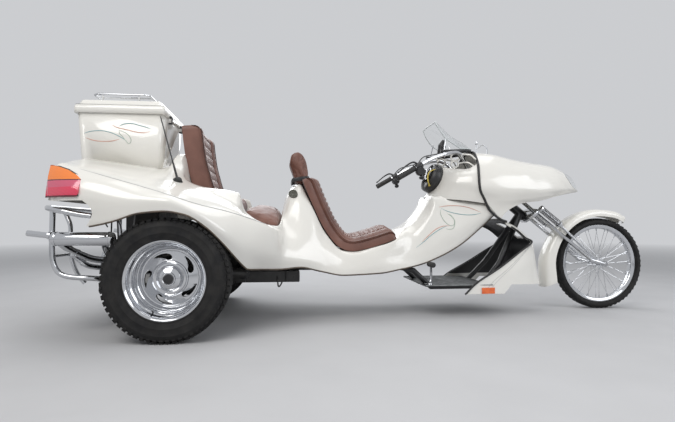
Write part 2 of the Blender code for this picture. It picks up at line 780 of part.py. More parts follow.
def body_guides():
    deck = [
        (x, deck_height(x))
        for x in (DECK_REAR[0], DECK_REAR[0] + 0.04, DECK_FRONT[0] - 0.04, DECK_FRONT[0])
    ]
    pan = [
        (-0.10, 0.985), (-0.055, 1.055), (-0.015, 1.060), (0.030, 0.86), (0.075, 0.74),
        (0.12, 0.70), (0.335, 0.685), (0.375, 0.60), (0.565, 0.575),
    ]
    saddle = [
        (0.60, 0.760), (0.650, 0.862), (0.705, 0.895), (0.765, 0.795), (0.870, 0.570),
        (0.985, 0.450), (1.05, 0.440), (1.20, 0.472), (1.33, 0.518), (1.375, 0.570),
    ]
    neck = [(1.47, 0.631), (1.57, 0.745), (1.616, 0.815), (2.05, 0.722)]
    crest = deck + pan + saddle + neck
    spine = Guide(*[(x, 0.0, z) for x, z in crest])
    inner = Guide(
        *[(x, DECK_HALF * 0.6, z) for x, z in deck],
        *[(x, 0.24, z) for x, z in pan],
        (0.60, 0.10, 0.752), (0.650, 0.09, 0.856), (0.705, 0.09, 0.890), (0.765, 0.12, 0.790),
        (0.870, 0.15, 0.566), (0.985, 0.17, 0.447), (1.05, 0.17, 0.438), (1.20, 0.16, 0.470),
        (1.33, 0.13, 0.515), (1.375, 0.10, 0.568), (1.47, 0.06, 0.630), (1.57, 0.07, 0.742),
        (1.616, 0.09, 0.814), (2.05, 0.12, 0.722),
    )
    floor = Guide(
        *[(x, DECK_HALF, z) for x, z in deck],
        (-0.10, 0.33, 0.965), (-0.055, 0.33, 1.030), (-0.015, 0.36, 1.010), (0.030, 0.40, 0.82),
        (
            0.075, 0.415, 0.73,
        ), (0.12, 0.42, 0.70), (0.335, 0.42, 0.685), (0.375, 0.41, 0.60), (0.565, 0.40, 0.570),
        (0.60, 0.185, 0.715), (0.650, 0.17, 0.822), (0.705, 0.17, 0.868), (0.765, 0.215, 0.775),
        (0.870, 0.245, 0.560), (0.985, 0.26, 0.444), (1.05, 0.26, 0.436), (1.20, 0.25, 0.468),
        (1.33, 0.23, 0.512), (1.375, 0.19, 0.560), (1.47, 0.12, 0.620), (1.57, 0.125, 0.732),
        (1.616, 0.15, 0.810), (2.05, 0.20, 0.722),
    )
    rail = Guide(
        (-0.60, 0.42, 1.000), (-0.56, 0.42, 0.995), (-0.20, 0.42, 0.935), (-0.16, 0.42, 0.930),
        (-0.10, 0.42, 0.935), (-0.055, 0.42, 0.955), (-0.015, 0.43, 0.935), (0.030, 0.445, 0.880),
        (0.075, 0.45, 0.848), (0.12, 0.45, 0.832), (0.335, 0.45, 0.803), (0.375, 0.445, 0.688),
        (0.565, 0.43, 0.604), (0.60, 0.275, 0.660), (0.650, 0.25, 0.740), (0.705, 0.235, 0.790),
        (0.765, 0.25, 0.735), (0.870, 0.27, 0.548), (0.985, 0.285, 0.438), (1.05, 0.282, 0.430),
        (1.20, 0.272, 0.462), (1.33, 0.255, 0.505), (1.375, 0.235, 0.535), (1.47, 0.175, 0.592),
        (1.57, 0.175, 0.690), (1.616, 0.19, 0.770), (2.05, 0.245, 0.716),
    )
    shoulder = Guide(
        (-0.60, 0.60, 0.960), (-0.40, 0.61, 0.930), (-0.20, 0.62, 0.885), (0.0, 0.61, 0.850),
        (0.12, 0.59, 0.808), (0.335, 0.53, 0.722), (0.375, 0.52, 0.668), (0.565, 0.455, 0.590),
        (0.60, 0.360, 0.585), (0.705, 0.315, 0.620), (0.765, 0.315, 0.590), (0.870, 0.302, 0.500),
        (0.985, 0.300, 0.420), (1.20, 0.286, 0.430), (1.375, 0.252, 0.490), (1.47, 0.215, 0.540),
        (1.616, 0.215, 0.680), (2.05, 0.250, 0.712),
    )
    crease = Guide(
        (-0.60, 0.70, 0.935), (-0.47, 0.745, 0.897), (-0.24, 0.775, 0.845), (0.0, 0.775, 0.790),
        (0.16, 0.735, 0.738), (0.36, 0.645, 0.668), (0.565, 0.500, 0.560), (0.60, 0.425, 0.520),
        (0.705, 0.385, 0.500), (0.870, 0.335, 0.440), (0.985, 0.318, 0.385), (1.20, 0.298, 0.385),
        (1.47, 0.245, 0.440), (1.616, 0.235, 0.520), (1.80, 0.235, 0.600), (2.05, 0.235, 0.705),
    )
    flank = Guide(
        (-0.60, 0.735, 0.86), (-0.47, 0.815, 0.80), (-0.24, 0.850, 0.755), (0.0, 0.868, 0.745),
        (0.16, 0.840, 0.680), (0.29, 0.780, 0.590), (0.40, 0.680, 0.500), (0.565, 0.510, 0.440),
        (0.60, 0.470, 0.425), (0.705, 0.425, 0.410), (0.870, 0.355, 0.365), (0.985, 0.335, 0.335),
        (1.20, 0.305, 0.340), (1.47, 0.255, 0.380), (1.616, 0.235, 0.430), (1.80, 0.222, 0.520),
        (2.05, 0.215, 0.700),
    )
    lip = Guide(
        (-0.60, 0.735, 0.735), (-0.47, 0.800, 0.640), (-0.40, 0.800, 0.603), (-0.33, 0.815, 0.613),
        (-0.25, 0.835, 0.632), (-0.123, 0.858, 0.671), (0.0, 0.866, 0.681), (0.10, 0.855, 0.664),
        (0.194, 0.820, 0.605), (0.29, 0.760, 0.503), (0.363, 0.670, 0.405), (0.402, 0.610, 0.361),
        (0.466, 0.530, 0.353), (0.581, 0.455, 0.346), (0.702, 0.420, 0.354), (0.827, 0.370, 0.325),
        (0.988, 0.340, 0.295), (1.220, 0.300, 0.301), (1.356, 0.280, 0.323), (1.495, 0.255, 0.350),
        (1.638, 0.228, 0.400), (1.783, 0.212, 0.475), (1.932, 0.200, 0.590), (2.05, 0.195, 0.695),
    )
    return [spine, inner, floor, rail, shoulder, crease, flank, lip]


BODY_STATIONS = (
    -0.60, -0.56, -0.48, -0.39, -0.30, -0.20, -0.12, -0.085, -0.055, -0.015, 0.03, 0.07, 0.12, 0.20, 0.28,
    0.335, 0.375, 0.45, 0.51, 0.565, 0.60, 0.625, 0.65, 0.68, 0.71, 0.745, 0.79, 0.84, 0.89, 0.94, 0.99,
    1.06, 1.14, 1.24, 1.33, 1.375, 1.43, 1.49, 1.55, 1.61, 1.70, 1.80, 1.92, 2.05,
)


def body_rows():
    guides = body_guides()
    rows = []
    for x in BODY_STATIONS:
        half = [guide.at(x) for guide in guides]
        right = [Vector((p.x, -p.y, p.z)) for p in half]
        left = [Vector((p.x, p.y, p.z)) for p in half[1:]]
        rows.append(list(reversed(right)) + left)
    first = rows[0]
    panel = []
    for share in (0.0, 0.5):
        back = 0.012 * (1 - share)
        panel.append([Vector((p.x - back, p.y, TAIL_FOOT + (p.z - TAIL_FOOT) * share)) for p in first])
    return panel + rows


def body_shell(rows):
    """The one-piece tub: tail, rear fenders, both seat pans, the hump and the tunnel to the neck."""
    shell = sheet("body_shell", rows, SHELL)
    notch = [(-0.70, 0.40), (-0.401, 0.40), (-0.401, 0.600), (-0.378, 0.636), (-0.362, 0.671)]
    notch += [(-0.376, 0.704), (-0.410, TAIL_FOOT - 0.004), (-0.70, TAIL_FOOT - 0.004)]
    return cut(shell, prism("notch", notch, -1.0, 1.0))


def under_body(rows, grow=SEAT_GAP):
    return filled("body_volume", rows, grow)


def seat(name, path, half, side, crown, rows):
    """An L-shaped bucket: a crowned pad that follows the tub's own curve and sits on it."""
    spots = [Vector((x, 0, z)) for x, z in path]
    rings = []
    for i, spot in enumerate(spots):
        heading = (spots[min(i + 1, len(spots) - 1)] - spots[max(i - 1, 0)]).normalized()
        facing = Vector((-heading.z, 0, heading.x))
        facing = -facing if facing.x + facing.z < 0 else facing
        end = min(i, len(spots) - 1 - i)
        swell = min(1.0, 0.62 + 0.19 * end)
        across = [(-1.0, 0.0), (-1.0, side * 0.8), (-0.9, side), (-0.62, side + 0.62 * (crown - side))]
        across += [(-0.3, crown * 0.97), (0.0, crown)]
        ring = across + [(-y, h) for y, h in reversed(across[:-1])]
        rings.append(
            [spot + Vector((0, y * half, 0)) + facing * h * (swell if h else 1) for y, h in ring]
        )
    pad = ring_solid(name, rings)
    return cut(pad, under_body(rows))


def headrest(rows, driver):
    outline = [(0.690, 0.880), (0.672, 0.955), (0.643, 1.035), (0.648, 1.080), (0.672, 1.104)]
    outline += [
        (0.700, 1.106), (0.728, 1.086), (0.745, 1.040), (0.757, 0.975), (0.764, 0.925),
        (0.735, 0.880),
    ]
    roll = soften(prism("headrest", outline, -0.13, 0.13), 0.022, 2)
    cut(roll, under_body(rows), grown_copy(driver))
    return roll


def saddle_pad(rows, passenger):
    """The padded hump between the passenger's cushion and the driver's back."""
    rings = []
    for x, crown, edge, half in (
        (0.372, 0.735, 0.694, 0.415), (0.43, 0.745, 0.672, 0.415), (0.50, 0.738, 0.642, 0.41),
        (0.578, 0.715, 0.602, 0.40),
    ):
        line = []
        for share in (-1, -0.8, -0.45, 0, 0.45, 0.8, 1):
            line.append(Vector((x, half * share, edge + (crown - edge) * (1 - share * share))))
        low = [Vector((x, half, 0.56)), Vector((x, -half, 0.56))]
        rings.append(line + low)
    pad = ring_solid("saddle_pad", rings)
    return drop_offcuts(cut(pad, under_body(rows), grown_copy(passenger)))


COWL_ROWS = (
    (
        (1.608, 0, 0.800), (1.618, 0.10, 0.796), (1.70, 0.185, 0.785), (1.83, 0.236, 0.748),
        (2.00, 0.248, 0.700),
    ),
    (
        (1.628, 0, 0.872), (1.640, 0.12, 0.870), (1.72, 0.215, 0.858), (1.84, 0.262, 0.835),
        (1.970, 0.270, 0.800),
    ),
    (
        (1.645, 0, 0.915), (1.655, 0.125, 0.915), (1.735, 0.225, 0.905), (1.845, 0.270, 0.895),
        (1.948, 0.284, 0.900),
    ),
    (
        (1.660, 0, 0.960), (1.668, 0.115, 0.962), (1.742, 0.205, 0.955), (1.845, 0.248, 0.955),
        (1.940, 0.252, 1.000),
    ),
    (
        (1.675, 0, 1.000), (1.682, 0.095, 1.002), (1.75, 0.165, 0.997), (1.85, 0.195, 1.000),
        (1.925, 0.180, 1.085),
    ),
)
EDGING = (
    (2.106, -0.235, 0.632), (2.048, -0.247, 0.677), (1.991, -0.262, 0.757), (1.955, -0.281, 0.844),
    (1.948, -0.284, 0.940), (1.932, -0.220, 1.052), (1.928, -0.110, 1.138), (1.927, 0.0, 1.152),
)
NOSE_GUIDES = (
    (
        (1.929, 0, 1.152), (2.05, 0, 1.157), (2.20, 0, 1.132), (2.401, 0, 1.078), (2.556, 0, 1.040),
        (2.690, 0, 0.996),
    ),
    (
        (1.930, 0.11, 1.138), (2.05, 0.13, 1.142), (2.20, 0.145, 1.112), (2.401, 0.14, 1.054),
        (2.556, 0.125, 1.014), (2.694, 0.10, 0.972),
    ),
    (
        (1.934, 0.22, 1.052), (2.05, 0.235, 1.050), (2.20, 0.240, 1.020), (2.401, 0.222, 0.975),
        (2.556, 0.19, 0.950), (2.715, 0.135, 0.930),
    ),
    (
        (1.950, 0.284, 0.935), (2.06, 0.295, 0.920), (2.21, 0.285, 0.905), (2.401, 0.25, 0.895),
        (2.556, 0.205, 0.893), (2.745, 0.13, 0.905),
    ),
    (
        (1.966, 0.277, 0.815), (2.08, 0.275, 0.810), (2.23, 0.262, 0.840), (2.401, 0.238, 0.862),
        (2.556, 0.195, 0.872), (2.755, 0.115, 0.897),
    ),
    (
        (2.050, 0.247, 0.672), (2.12, 0.246, 0.712), (2.25, 0.235, 0.785), (2.401, 0.215, 0.828),
        (2.556, 0.175, 0.850), (2.765, 0.090, 0.890),
    ),
)


def edging_path():
    half = fair(EDGING, 2)
    return half + [Vector((p.x, -p.y, p.z)) for p in reversed(half[:-1])]


def mirrored(half):
    """A row that runs from its middle out to the left, made whole on both sides."""
    right = [Vector((p[0], -p[1], p[2])) for p in half]
    left = [Vector((p[0], p[1], p[2])) for p in half[1:]]
    return list(reversed(right)) + left


def dash_cowl(rows):
    """The fairing round the instruments, open on top where the bars pass."""
    levels = [mirrored(fair(level, 2)) for level in COWL_ROWS]
    columns = [fair(column, 2) for column in zip(*levels)]
    net = [list(row) for row in zip(*columns)]
    net = [list(reversed(row)) for row in net]
    cowl = sheet("dash_cowl", net, COWL_WALL)
    cut(cowl, under_body(rows), tube("groove", edging_path(), EDGING_RADIUS + SEAT_GAP, sides=6))
    return cowl


def dash_frame(point_across, point_up, depth):
    """A place on the tilted instrument face: across it, up it and out towards the rider."""
    low, high = Vector(COWL_ROWS[1][0]), Vector(COWL_ROWS[4][0])
    up = (high - low).normalized()
    out = Vector((-up.z, 0, up.x))
    middle = (low + high) / 2
    return middle + Vector((0, point_across, 0)) + up * point_up + out * depth


def oval_plug(name, across, up, low, high, segments=24):
    rings = []
    for depth in (low, high):
        rings.append(
            [
                dash_frame(
                    across * math.cos(2 * math.pi * i / segments),
                    up * math.sin(2 * math.pi * i / segments), depth,
                )
                for i in range(segments)
            ]
        )
    return ring_solid(name, rings)


def nose_cowl():
    net = net_rows(NOSE_GUIDES, 2, 2)
    nose = sheet("nose_cowl", net, COWL_WALL)
    chin = []
    for (x, y, z) in NOSE_GUIDES[-1][4:]:
        chin.append((x, y, z))
    (xa, ya, za), (xb, yb, zb) = chin
    top = 0.004
    rings = []
    for x, y, z in ((xa, ya, za), (xb - 0.003, yb, zb)):
        y -= 0.001
        rings.append(
            [
                Vector((x, -y, z - 0.002)), Vector((x, y, z - 0.002)), Vector((x, y, z + top)),
                Vector((x, -y, z + top)),
            ]
        )
    join(nose, ring_solid("chin", rings))
    cut(nose, tube("groove", edging_path(), EDGING_RADIUS + SEAT_GAP, sides=6))
    return nose


def headlamp(nose):
    bowl = [(0.0, -0.065), (0.038, -0.052), (0.054, -0.025), (0.058, 0.0), (0.058, 0.010)]
    bowl += [(0.050, 0.014), (0.030, 0.022), (0.0, 0.026)]
    centre = Vector((2.640, 0, 0.934))
    lamp = spun_solid("headlamp", bowl, centre, axis="X", segments=20)
    foot = block("foot", (2.615, -0.03, 0.8640), (2.640, 0.03, 0.90))
    join(lamp, foot, solver="MANIFOLD")
    return drop_offcuts(cut(lamp, grown_copy(nose), solver="MANIFOLD"))


def headlamp_cover(nose):
    """A clear raked plate that closes the nose between its roof and its chin."""
    ring = [Vector(guide[-1]) for guide in NOSE_GUIDES]
    right = [Vector((p.x, -p.y, p.z)) for p in ring]
    loop = right + [Vector((p.x, p.y, p.z)) for p in reversed(ring[1:])]
    middle = sum(loop, Vector()) / len(loop)
    out = Vector((0.10, 0, 0.072)).normalized()
    rings = []
    for grow, depth in ((0.97, -0.012), (0.97, -0.006), (0.7, 0.003)):
        rings.append([middle + (p - middle) * grow + out * depth for p in loop])
    plate = ring_solid("headlamp_cover", rings)
    below = block("below", (2.60, -0.2, 0.80), (2.90, 0.2, 0.8975))
    return drop_offcuts(cut(plate, below, grown_copy(nose, 2 * CUT_GAP), solver="MANIFOLD"))


SCREEN_ROWS = (
    ((1.915, 0, 1.168), (1.87, 0.10, 1.162), (1.76, 0.160, 1.150), (1.64, 0.185, 1.140)),
    ((1.845, 0, 1.215), (1.82, 0.10, 1.212), (1.725, 0.155, 1.200), (1.632, 0.175, 1.190)),
    ((1.765, 0, 1.285), (1.75, 0.085, 1.282), (1.69, 0.135, 1.270), (1.63, 0.150, 1.250)),
    ((1.680, 0, 1.352), (1.675, 0.060, 1.350), (1.655, 0.100, 1.342), (1.635, 0.115, 1.320)),
)


def windshield():
    levels = [mirrored(fair(level, 2)) for level in SCREEN_ROWS]
    net = [list(reversed(row)) for row in levels]
    return sheet("windshield", net, SCREEN_WALL)


def windshield_frame(screen, cowl, nose, edging):
    """The black channel under the screen, with two struts down to the cowl's rim."""
    base = [Vector((p.x, p.y, p.z - 0.006)) for p in mirrored(fair(SCREEN_ROWS[0], 2))]
    channel = tube("windshield_frame", base, 0.010, sides=6)
    for side in (-1, 1):
        foot = Vector((1.690, side * 0.105, 0.990))
        head = Vector((1.715, side * 0.172, 1.146))
        join(channel, tube("strut", [foot, head], 0.006, sides=6))
    return cut(channel, *[grown_copy(piece) for piece in (screen, cowl, nose, edging)])


def gauge_cluster(cowl):
    plate = oval_plug("gauge_cluster", 0.105, 0.062, -0.050, 0.010)
    hole = oval_plug("hole", 0.105 + SEAT_GAP, 0.062 + SEAT_GAP, -0.080, 0.040)
    cut(cowl, hole)
    for across, up, radius in ((-0.045, 0.006, 0.040), (0.045, 0.006, 0.040)):
        rings = []
        for depth, size in (
            (-0.02, radius), (0.020, radius), (0.020, radius - 0.006), (0.014, radius - 0.007),
        ):
            rings.append(
                [
                    dash_frame(
                        across + size * math.cos(2 * math.pi * i / 20),
                        up + size * math.sin(2 * math.pi * i / 20), depth,
                    )
                    for i in range(20)
                ]
            )
        join(plate, ring_solid("gauge", rings))
    return plate


SHIELD_ROWS = (
    (
        (2.092, 0, 0.655), (2.092, 0.12, 0.655), (2.096, 0.195, 0.645), (2.102, 0.222, 0.632),
        (2.106, 0.238, 0.615),
    ),
    (
        (2.20, 0, 0.612), (2.20, 0.11, 0.610), (2.195, 0.180, 0.600), (2.190, 0.205, 0.590),
        (2.185, 0.225, 0.574),
    ),
    (
        (2.290, 0, 0.558), (2.285, 0.10, 0.556), (2.270, 0.165, 0.547), (2.258, 0.195, 0.538),
        (2.245, 0.220, 0.524),
    ),
    (
        (2.345, 0, 0.490), (2.340, 0.10, 0.488), (2.322, 0.165, 0.486), (2.308, 0.195, 0.488),
        (2.290, 0.225, 0.492),
    ),
    (
        (2.354, 0, 0.420), (2.348, 0.10, 0.420), (2.330, 0.180, 0.420), (2.270, 0.228, 0.424),
        (2.190, 0.256, 0.430),
    ),
    (
        (2.362, 0, 0.335), (2.356, 0.10, 0.335), (2.335, 0.190, 0.335), (2.210, 0.258, 0.332),
        (2.030, 0.286, 0.325),
    ),
    (
        (2.378, 0, 0.245), (2.370, 0.10, 0.245), (2.340, 0.200, 0.245), (2.140, 0.275, 0.240),
        (1.875, 0.302, 0.235),
    ),
    (
        (2.400, 0, 0.150), (2.390, 0.10, 0.150), (2.355, 0.205, 0.150), (2.090, 0.282, 0.152),
        (1.785, 0.308, 0.156),
    ),
)


def shield_net():
    columns = [fair(column, 1) for column in zip(*[mirrored(fair(row, 2)) for row in SHIELD_ROWS])]
    return [list(row) for row in zip(*columns)]


def head_slot():
    """The cut-out in the scoop's roof where the down tubes rise to the steering head."""
    outline = [(2.15, -0.050), (2.18, -0.075), (2.29, -0.075), (2.32, -0.050)]
    return prism("slot", outline + [(x, -y) for x, y in reversed(outline)], 0.45, 0.75, axis="Z")


def leg_shield():
    """The scoop ahead of the rider's feet: a roof, a curved front wall and two low side wings."""
    shield = sheet("leg_shield", shield_net(), SHELL)
    step = [(2.066, 0.10), (2.066, 0.157), (2.118, 0.214), (2.60, 0.196), (2.60, 0.10)]
    cut(shield, prism("step", step, -0.5, 0.5), solver="MANIFOLD")
    return cut(shield, head_slot(), solver="MANIFOLD")


def shield_liner():
    """The black lining of the scoop, laid against its inner face."""
    net = offset_rows(shield_net(), -SHELL - SEAT_GAP)
    liner = sheet("shield_liner", net[:-1], 0.003)
    return cut(liner, head_slot(), solver="MANIFOLD")


def reflector(word, side, shield):
    net = offset_rows(shield_net(), 0.007 + SEAT_GAP)
    lens = sheet("reflector_" + word, net, 0.007)
    low, high = sorted((side * 0.26, side * 0.36))
    combine(lens, block("window", (1.900, low, 0.158), (1.990, high, 0.197)), "INTERSECT", "MANIFOLD")
    return drop_offcuts(cut(lens, grown_copy(shield), solver="MANIFOLD"))


def floor_plate(chassis, liner, shield):
    """The foot board on the lower rails, folded up at its rear edge."""
    top = FLOOR_RAIL_Z + 0.020
    plate = block("floor_plate", (1.52, -0.300, top - 0.002), (1.98, 0.300, top + 0.004))
    cutters = [grown_copy(chassis), grown_copy(liner, SEAT_GAP), grown_copy(shield, SEAT_GAP)]
    return drop_offcuts(cut(plate, *cutters, solver="MANIFOLD"))


def pedal(word, side):
    """A foot lever on its own foot at the rear edge of the board."""
    base = FLOOR_RAIL_Z + 0.024 + SEAT_GAP
    foot = Vector((1.560, side * 0.262, base))
    lever = tube("pedal_" + word, [foot, foot + Vector((0, 0, 0.012))], 0.020, sides=10)
    arm = [
        foot + Vector((0, 0, 0.004)), Vector((1.562, side * 0.285, 0.28)),
        Vector((1.550, side * 0.325, 0.352)),
    ]
    join(lever, tube("arm", arm, 0.008, sides=8), solver="MANIFOLD")
    pad = [Vector((1.549, side * 0.285, 0.355)), Vector((1.549, side * 0.375, 0.355))]
    join(lever, tube("pad", pad, 0.015, sides=10), solver="MANIFOLD")
    return lever


def nose_stem():
    """A ball-topped stem on the nose with a bent rod beside it."""
    stem = tube("nose_stem", [(2.005, 0, 1.145), (2.005, 0, 1.215)], 0.004, sides=6)
    ball = spun_solid(
        "ball", [(0, -0.012), (0.008, -0.008), (0.010, 0.0), (0.008, 0.008), (0, 0.012)],
        (2.005, 0, 1.222), axis="Z", segments=10,
    )
    rod = fair(
        [
            (2.005, 0, 1.180), (2.030, -0.03, 1.200), (2.055, -0.07, 1.198), (2.062, -0.10, 1.175),
            (2.060, -0.13, 1.142), (2.045, -0.16, 1.112),
        ],
        2,
    )
    join(stem, ball, tube("rod", rod, 0.0035, sides=6), solver="MANIFOLD")
    return drop_offcuts(
        cut(stem, filled("volume", net_rows(NOSE_GUIDES, 2, 2), CUT_GAP, 0.4), solver="MANIFOLD")
    )


def rear_axle():
    """Gearbox, swing tubes, drums and trailing arms as one casting group."""
    height = REAR_TYRE_RADIUS
    box = [(0.0, BELL_FACE_X), (0.165, BELL_FACE_X), (0.165, BELL_FACE_X + 0.02), (0.125, -0.05)]
    box += [(0.105, 0.06), (0.090, 0.10), (0.080, 0.27), (0.060, 0.31)]
    box.append((0.0, TORSION_X - TORSION_RADIUS - SEAT_GAP))
    axle = spun_solid("rear_axle", box, (0, 0, height), axis="X", segments=16)
    hub_face = REAR_TRACK_HALF - 0.040 - RUNNING_GAP
    drum_face = REAR_TRACK_HALF - 0.058 - 0.006
    swing = [(0.0, 0.05), (0.075, 0.05), (0.060, 0.12), (0.034, 0.16), (0.034, 0.575)]
    swing += [(0.118, 0.585), (0.118, drum_face), (0.062, drum_face), (0.062, hub_face), (0.0, hub_face)]
    arm = [(-0.05, -0.05), (0.06, -0.055), (TORSION_X, -0.026), (TORSION_X + 0.03, 0)]
    arm += [(TORSION_X, 0.026), (0.05, 0.052), (-0.05, 0.05)]
    for side in (-1, 1):
        profile = [(r, side * y) for r, y in swing]
        join(axle, spun_solid("swing_tube", profile, (0, 0, height), segments=18))
        low, high = sorted((side * (TORSION_HALF + SEAT_GAP), side * (TORSION_HALF + 0.012)))
        join(axle, prism("arm", [(x, height + z) for x, z in arm], low, high))
    return axle


def frame():
    """Two rails, their cross tubes, the engine cradle, the backbone, down tubes and steering head."""
    rails = []
    for side in (-1, 1):
        y = side * RAIL_Y
        path = [(-0.56, 0.20), (0.22, 0.20), (0.33, 0.29), (0.42, 0.33), (1.36, 0.33), (1.48, 0.30)]
        path += [(1.60, FLOOR_RAIL_Z), (1.96, FLOOR_RAIL_Z), (2.10, 0.34)]
        points = [Vector((x, y * (1.0 if x < 2 else 0.8), z)) for x, z in path]
        points.append(steer_point(CROWN_LOW - 0.055, side * 0.014, -0.012))
        rails.append(tube("rail", points, 0.020, sides=7))
    base = rails[0]
    bars = []
    stations = ((-0.45, 0.20), (-0.20, 0.20), (0.47, 0.33), (1.05, 0.33))
    for x, z in stations + ((1.70, FLOOR_RAIL_Z), (1.90, FLOOR_RAIL_Z)):
        ends = [(x, -RAIL_Y - 0.004, z), (x, RAIL_Y + 0.003, z)]
        bars.append(tube("cross_tube", ends, 0.0155, sides=6))
    for side in (-1, 1):
        post = [(1.05, side * RAIL_Y, 0.33), (1.05, side * RAIL_Y, PAN_UNDERSIDE)]
        bars.append(tube("post", post, 0.012, sides=6))
    ends = [(TORSION_X, side * TORSION_HALF, REAR_TYRE_RADIUS) for side in (-1, 1)]
    bars.append(tube("torsion_tube", ends, TORSION_RADIUS, sides=16))
    spine = [(1.10, 0, 0.33), (1.30, 0, 0.40), (1.46, 0, 0.52), (1.60, 0, 0.650), (1.80, 0, 0.640)]
    spine += [(1.98, 0, 0.645), (2.09, 0, 0.695), tuple(steer_point(-0.06, 0, -0.008))]
    backbone = tube("backbone", fair(spine, 2), 0.022, sides=7)
    ends = [steer_point(CROWN_HIGH + 0.014), steer_point(CROWN_LOW - 0.014)]
    head = tube("head", ends, 0.030, sides=16)
    join(base, *bars, rails[1], backbone, head, solver="MANIFOLD")
    clear_of_stem = (STEM_RADIUS + RUNNING_GAP) / math.cos(math.pi / 12)
    bore = tube("bore", [steer_point(-0.3), steer_point(0.3)], clear_of_stem, sides=12)
    cut(base, bore, solver="MANIFOLD")
    base.name = "frame"
    return drop_offcuts(base)


def engine():
    """A flat four: one plain case with two finned cylinders and a head to each side."""
    case = block("engine", (-0.50, -0.13, CRADLE_TOP + SEAT_GAP), (BELL_FACE_X - SEAT_GAP, 0.13, 0.50))
    soften(case, 0.02, 1)
    for side in (-1, 1):
        for x in (-0.24, -0.39):
            barrel = spun_solid(
                "barrel",
                [(0, side * 0.10), (0.052, side * 0.10), (0.052, side * 0.30), (0, side * 0.30)],
                (x, 0, 0.385), segments=16,
            )
            join(case, barrel, solver="MANIFOLD")
        low, high = sorted((side * 0.28, side * 0.385))
        head = soften(block("head", (-0.47, low, 0.315), (-0.16, high, 0.455)), 0.02, 1)
        join(case, head, solver="MANIFOLD")
    return case


def fan_shroud():
    """The tall cooling fan housing that straddles the case, with the fan's mouth and its belt wheel."""
    outline = [
        (-0.30, 0.505), (-0.31, 0.60), (-0.26, 0.72), (-0.18, 0.86), (-0.10, 0.905), (0.10, 0.905),
        (0.18, 0.86), (0.26, 0.72), (0.31, 0.60), (0.30, 0.505),
    ]
    shroud = prism("fan_shroud", [(y, z) for y, z in outline], -0.32, -0.17, axis="X")
    soften(shroud, 0.015, 1)
    boss = spun_solid(
        "boss",
        [
            (0, -0.44), (0.030, -0.44), (0.030, -0.42), (0.075, -0.42), (0.075, -0.40),
            (0.055, -0.395), (0.055, -0.30), (0, -0.30),
        ],
        (0, 0, 0.74), axis="X", segments=20,
    )
    foot = block("stand", (-0.44, -0.03, 0.5003), (-0.30, 0.03, 0.72))
    join(shroud, boss, foot)
    return shroud


def exhaust(word, side, engine_solid):
    """Head pipes into a chrome side muffler, with its tail pipe."""
    y = side * 0.665
    body = spun_solid(
        "muffler",
        [(0, -0.615), (0.030, -0.612), (0.0375, -0.600), (0.0375, -0.320), (0.020, -0.300), (0, -0.300)],
        (0, y, 0.535), axis="X", segments=14,
    )
    tip = tube("tip", [(-0.58, y, 0.540), (-TAILPIPE_END, y, 0.556)], 0.025, sides=10)
    bore = tube("bore", [(-0.66, y, 0.5457), (-TAILPIPE_END - 0.02, y, 0.5575)], 0.022, sides=10)
    join(body, tip)
    cut(body, bore)
    header = tube(
        "header",
        fair(
            [
                (-0.345, side * 0.655, 0.535), (-0.39, side * 0.56, 0.50),
                (-0.40, side * 0.45, 0.42), (-0.39, side * 0.37, 0.385),
            ],
            2,
        ),
        0.019, sides=7,
    )
    join(body, header)
    body.name = "exhaust_" + word
    return cut(body, grown_copy(engine_solid))


def bumper(frame_solid, exhausts):
    """The chrome hoop round the tail and the two loops that drop from it to the cradle."""
    half = [
        Vector(p)
        for p in (
            (-0.397, -0.735, 0.657), (-0.54, -0.735, 0.682), (-0.625, -0.70, 0.697),
            (-0.668, -0.60, 0.704), (-0.675, -0.30, 0.706), (-0.675, 0, 0.706),
        )
    ]
    half = fair(half, 2)
    hoop = tube("bumper", half + [Vector((p.x, -p.y, p.z)) for p in reversed(half[:-1])], 0.017, sides=6)
    for side in (-1, 1):
        loop = fair(
            [
                (-0.665, side * 0.56, 0.702), (-0.640, side * 0.56, 0.55),
                (-0.615, side * 0.56, 0.42), (-0.515, side * 0.56, 0.340),
                (-0.40, side * 0.52, 0.300), (-0.45, side * 0.36, 0.240),
                (-0.53, side * 0.16, 0.205),
            ],
            2,
        )
        join(hoop, tube("loop", loop, 0.017, sides=6))
        join(
            hoop,
            tube(
                "upright",
                [(-0.672, side * 0.40, 0.704), (-0.640, side * 0.40, 0.50), (-0.57, side * 0.43, 0.275)],
                0.013, sides=8,
            ),
        )
    return cut(hoop, grown_copy(frame_solid), *[grown_copy(e) for e in exhausts])


def box_loop(xs, half, z, inset=0.0):
    """A level rectangle of points, drawn in by the inset."""
    low, high = xs[0] + inset, xs[1] - inset
    side = half - inset
    return [Vector((low, -side, z)), Vector((high, -side, z)), Vector((high, side, z)), Vector((low, side, z))]


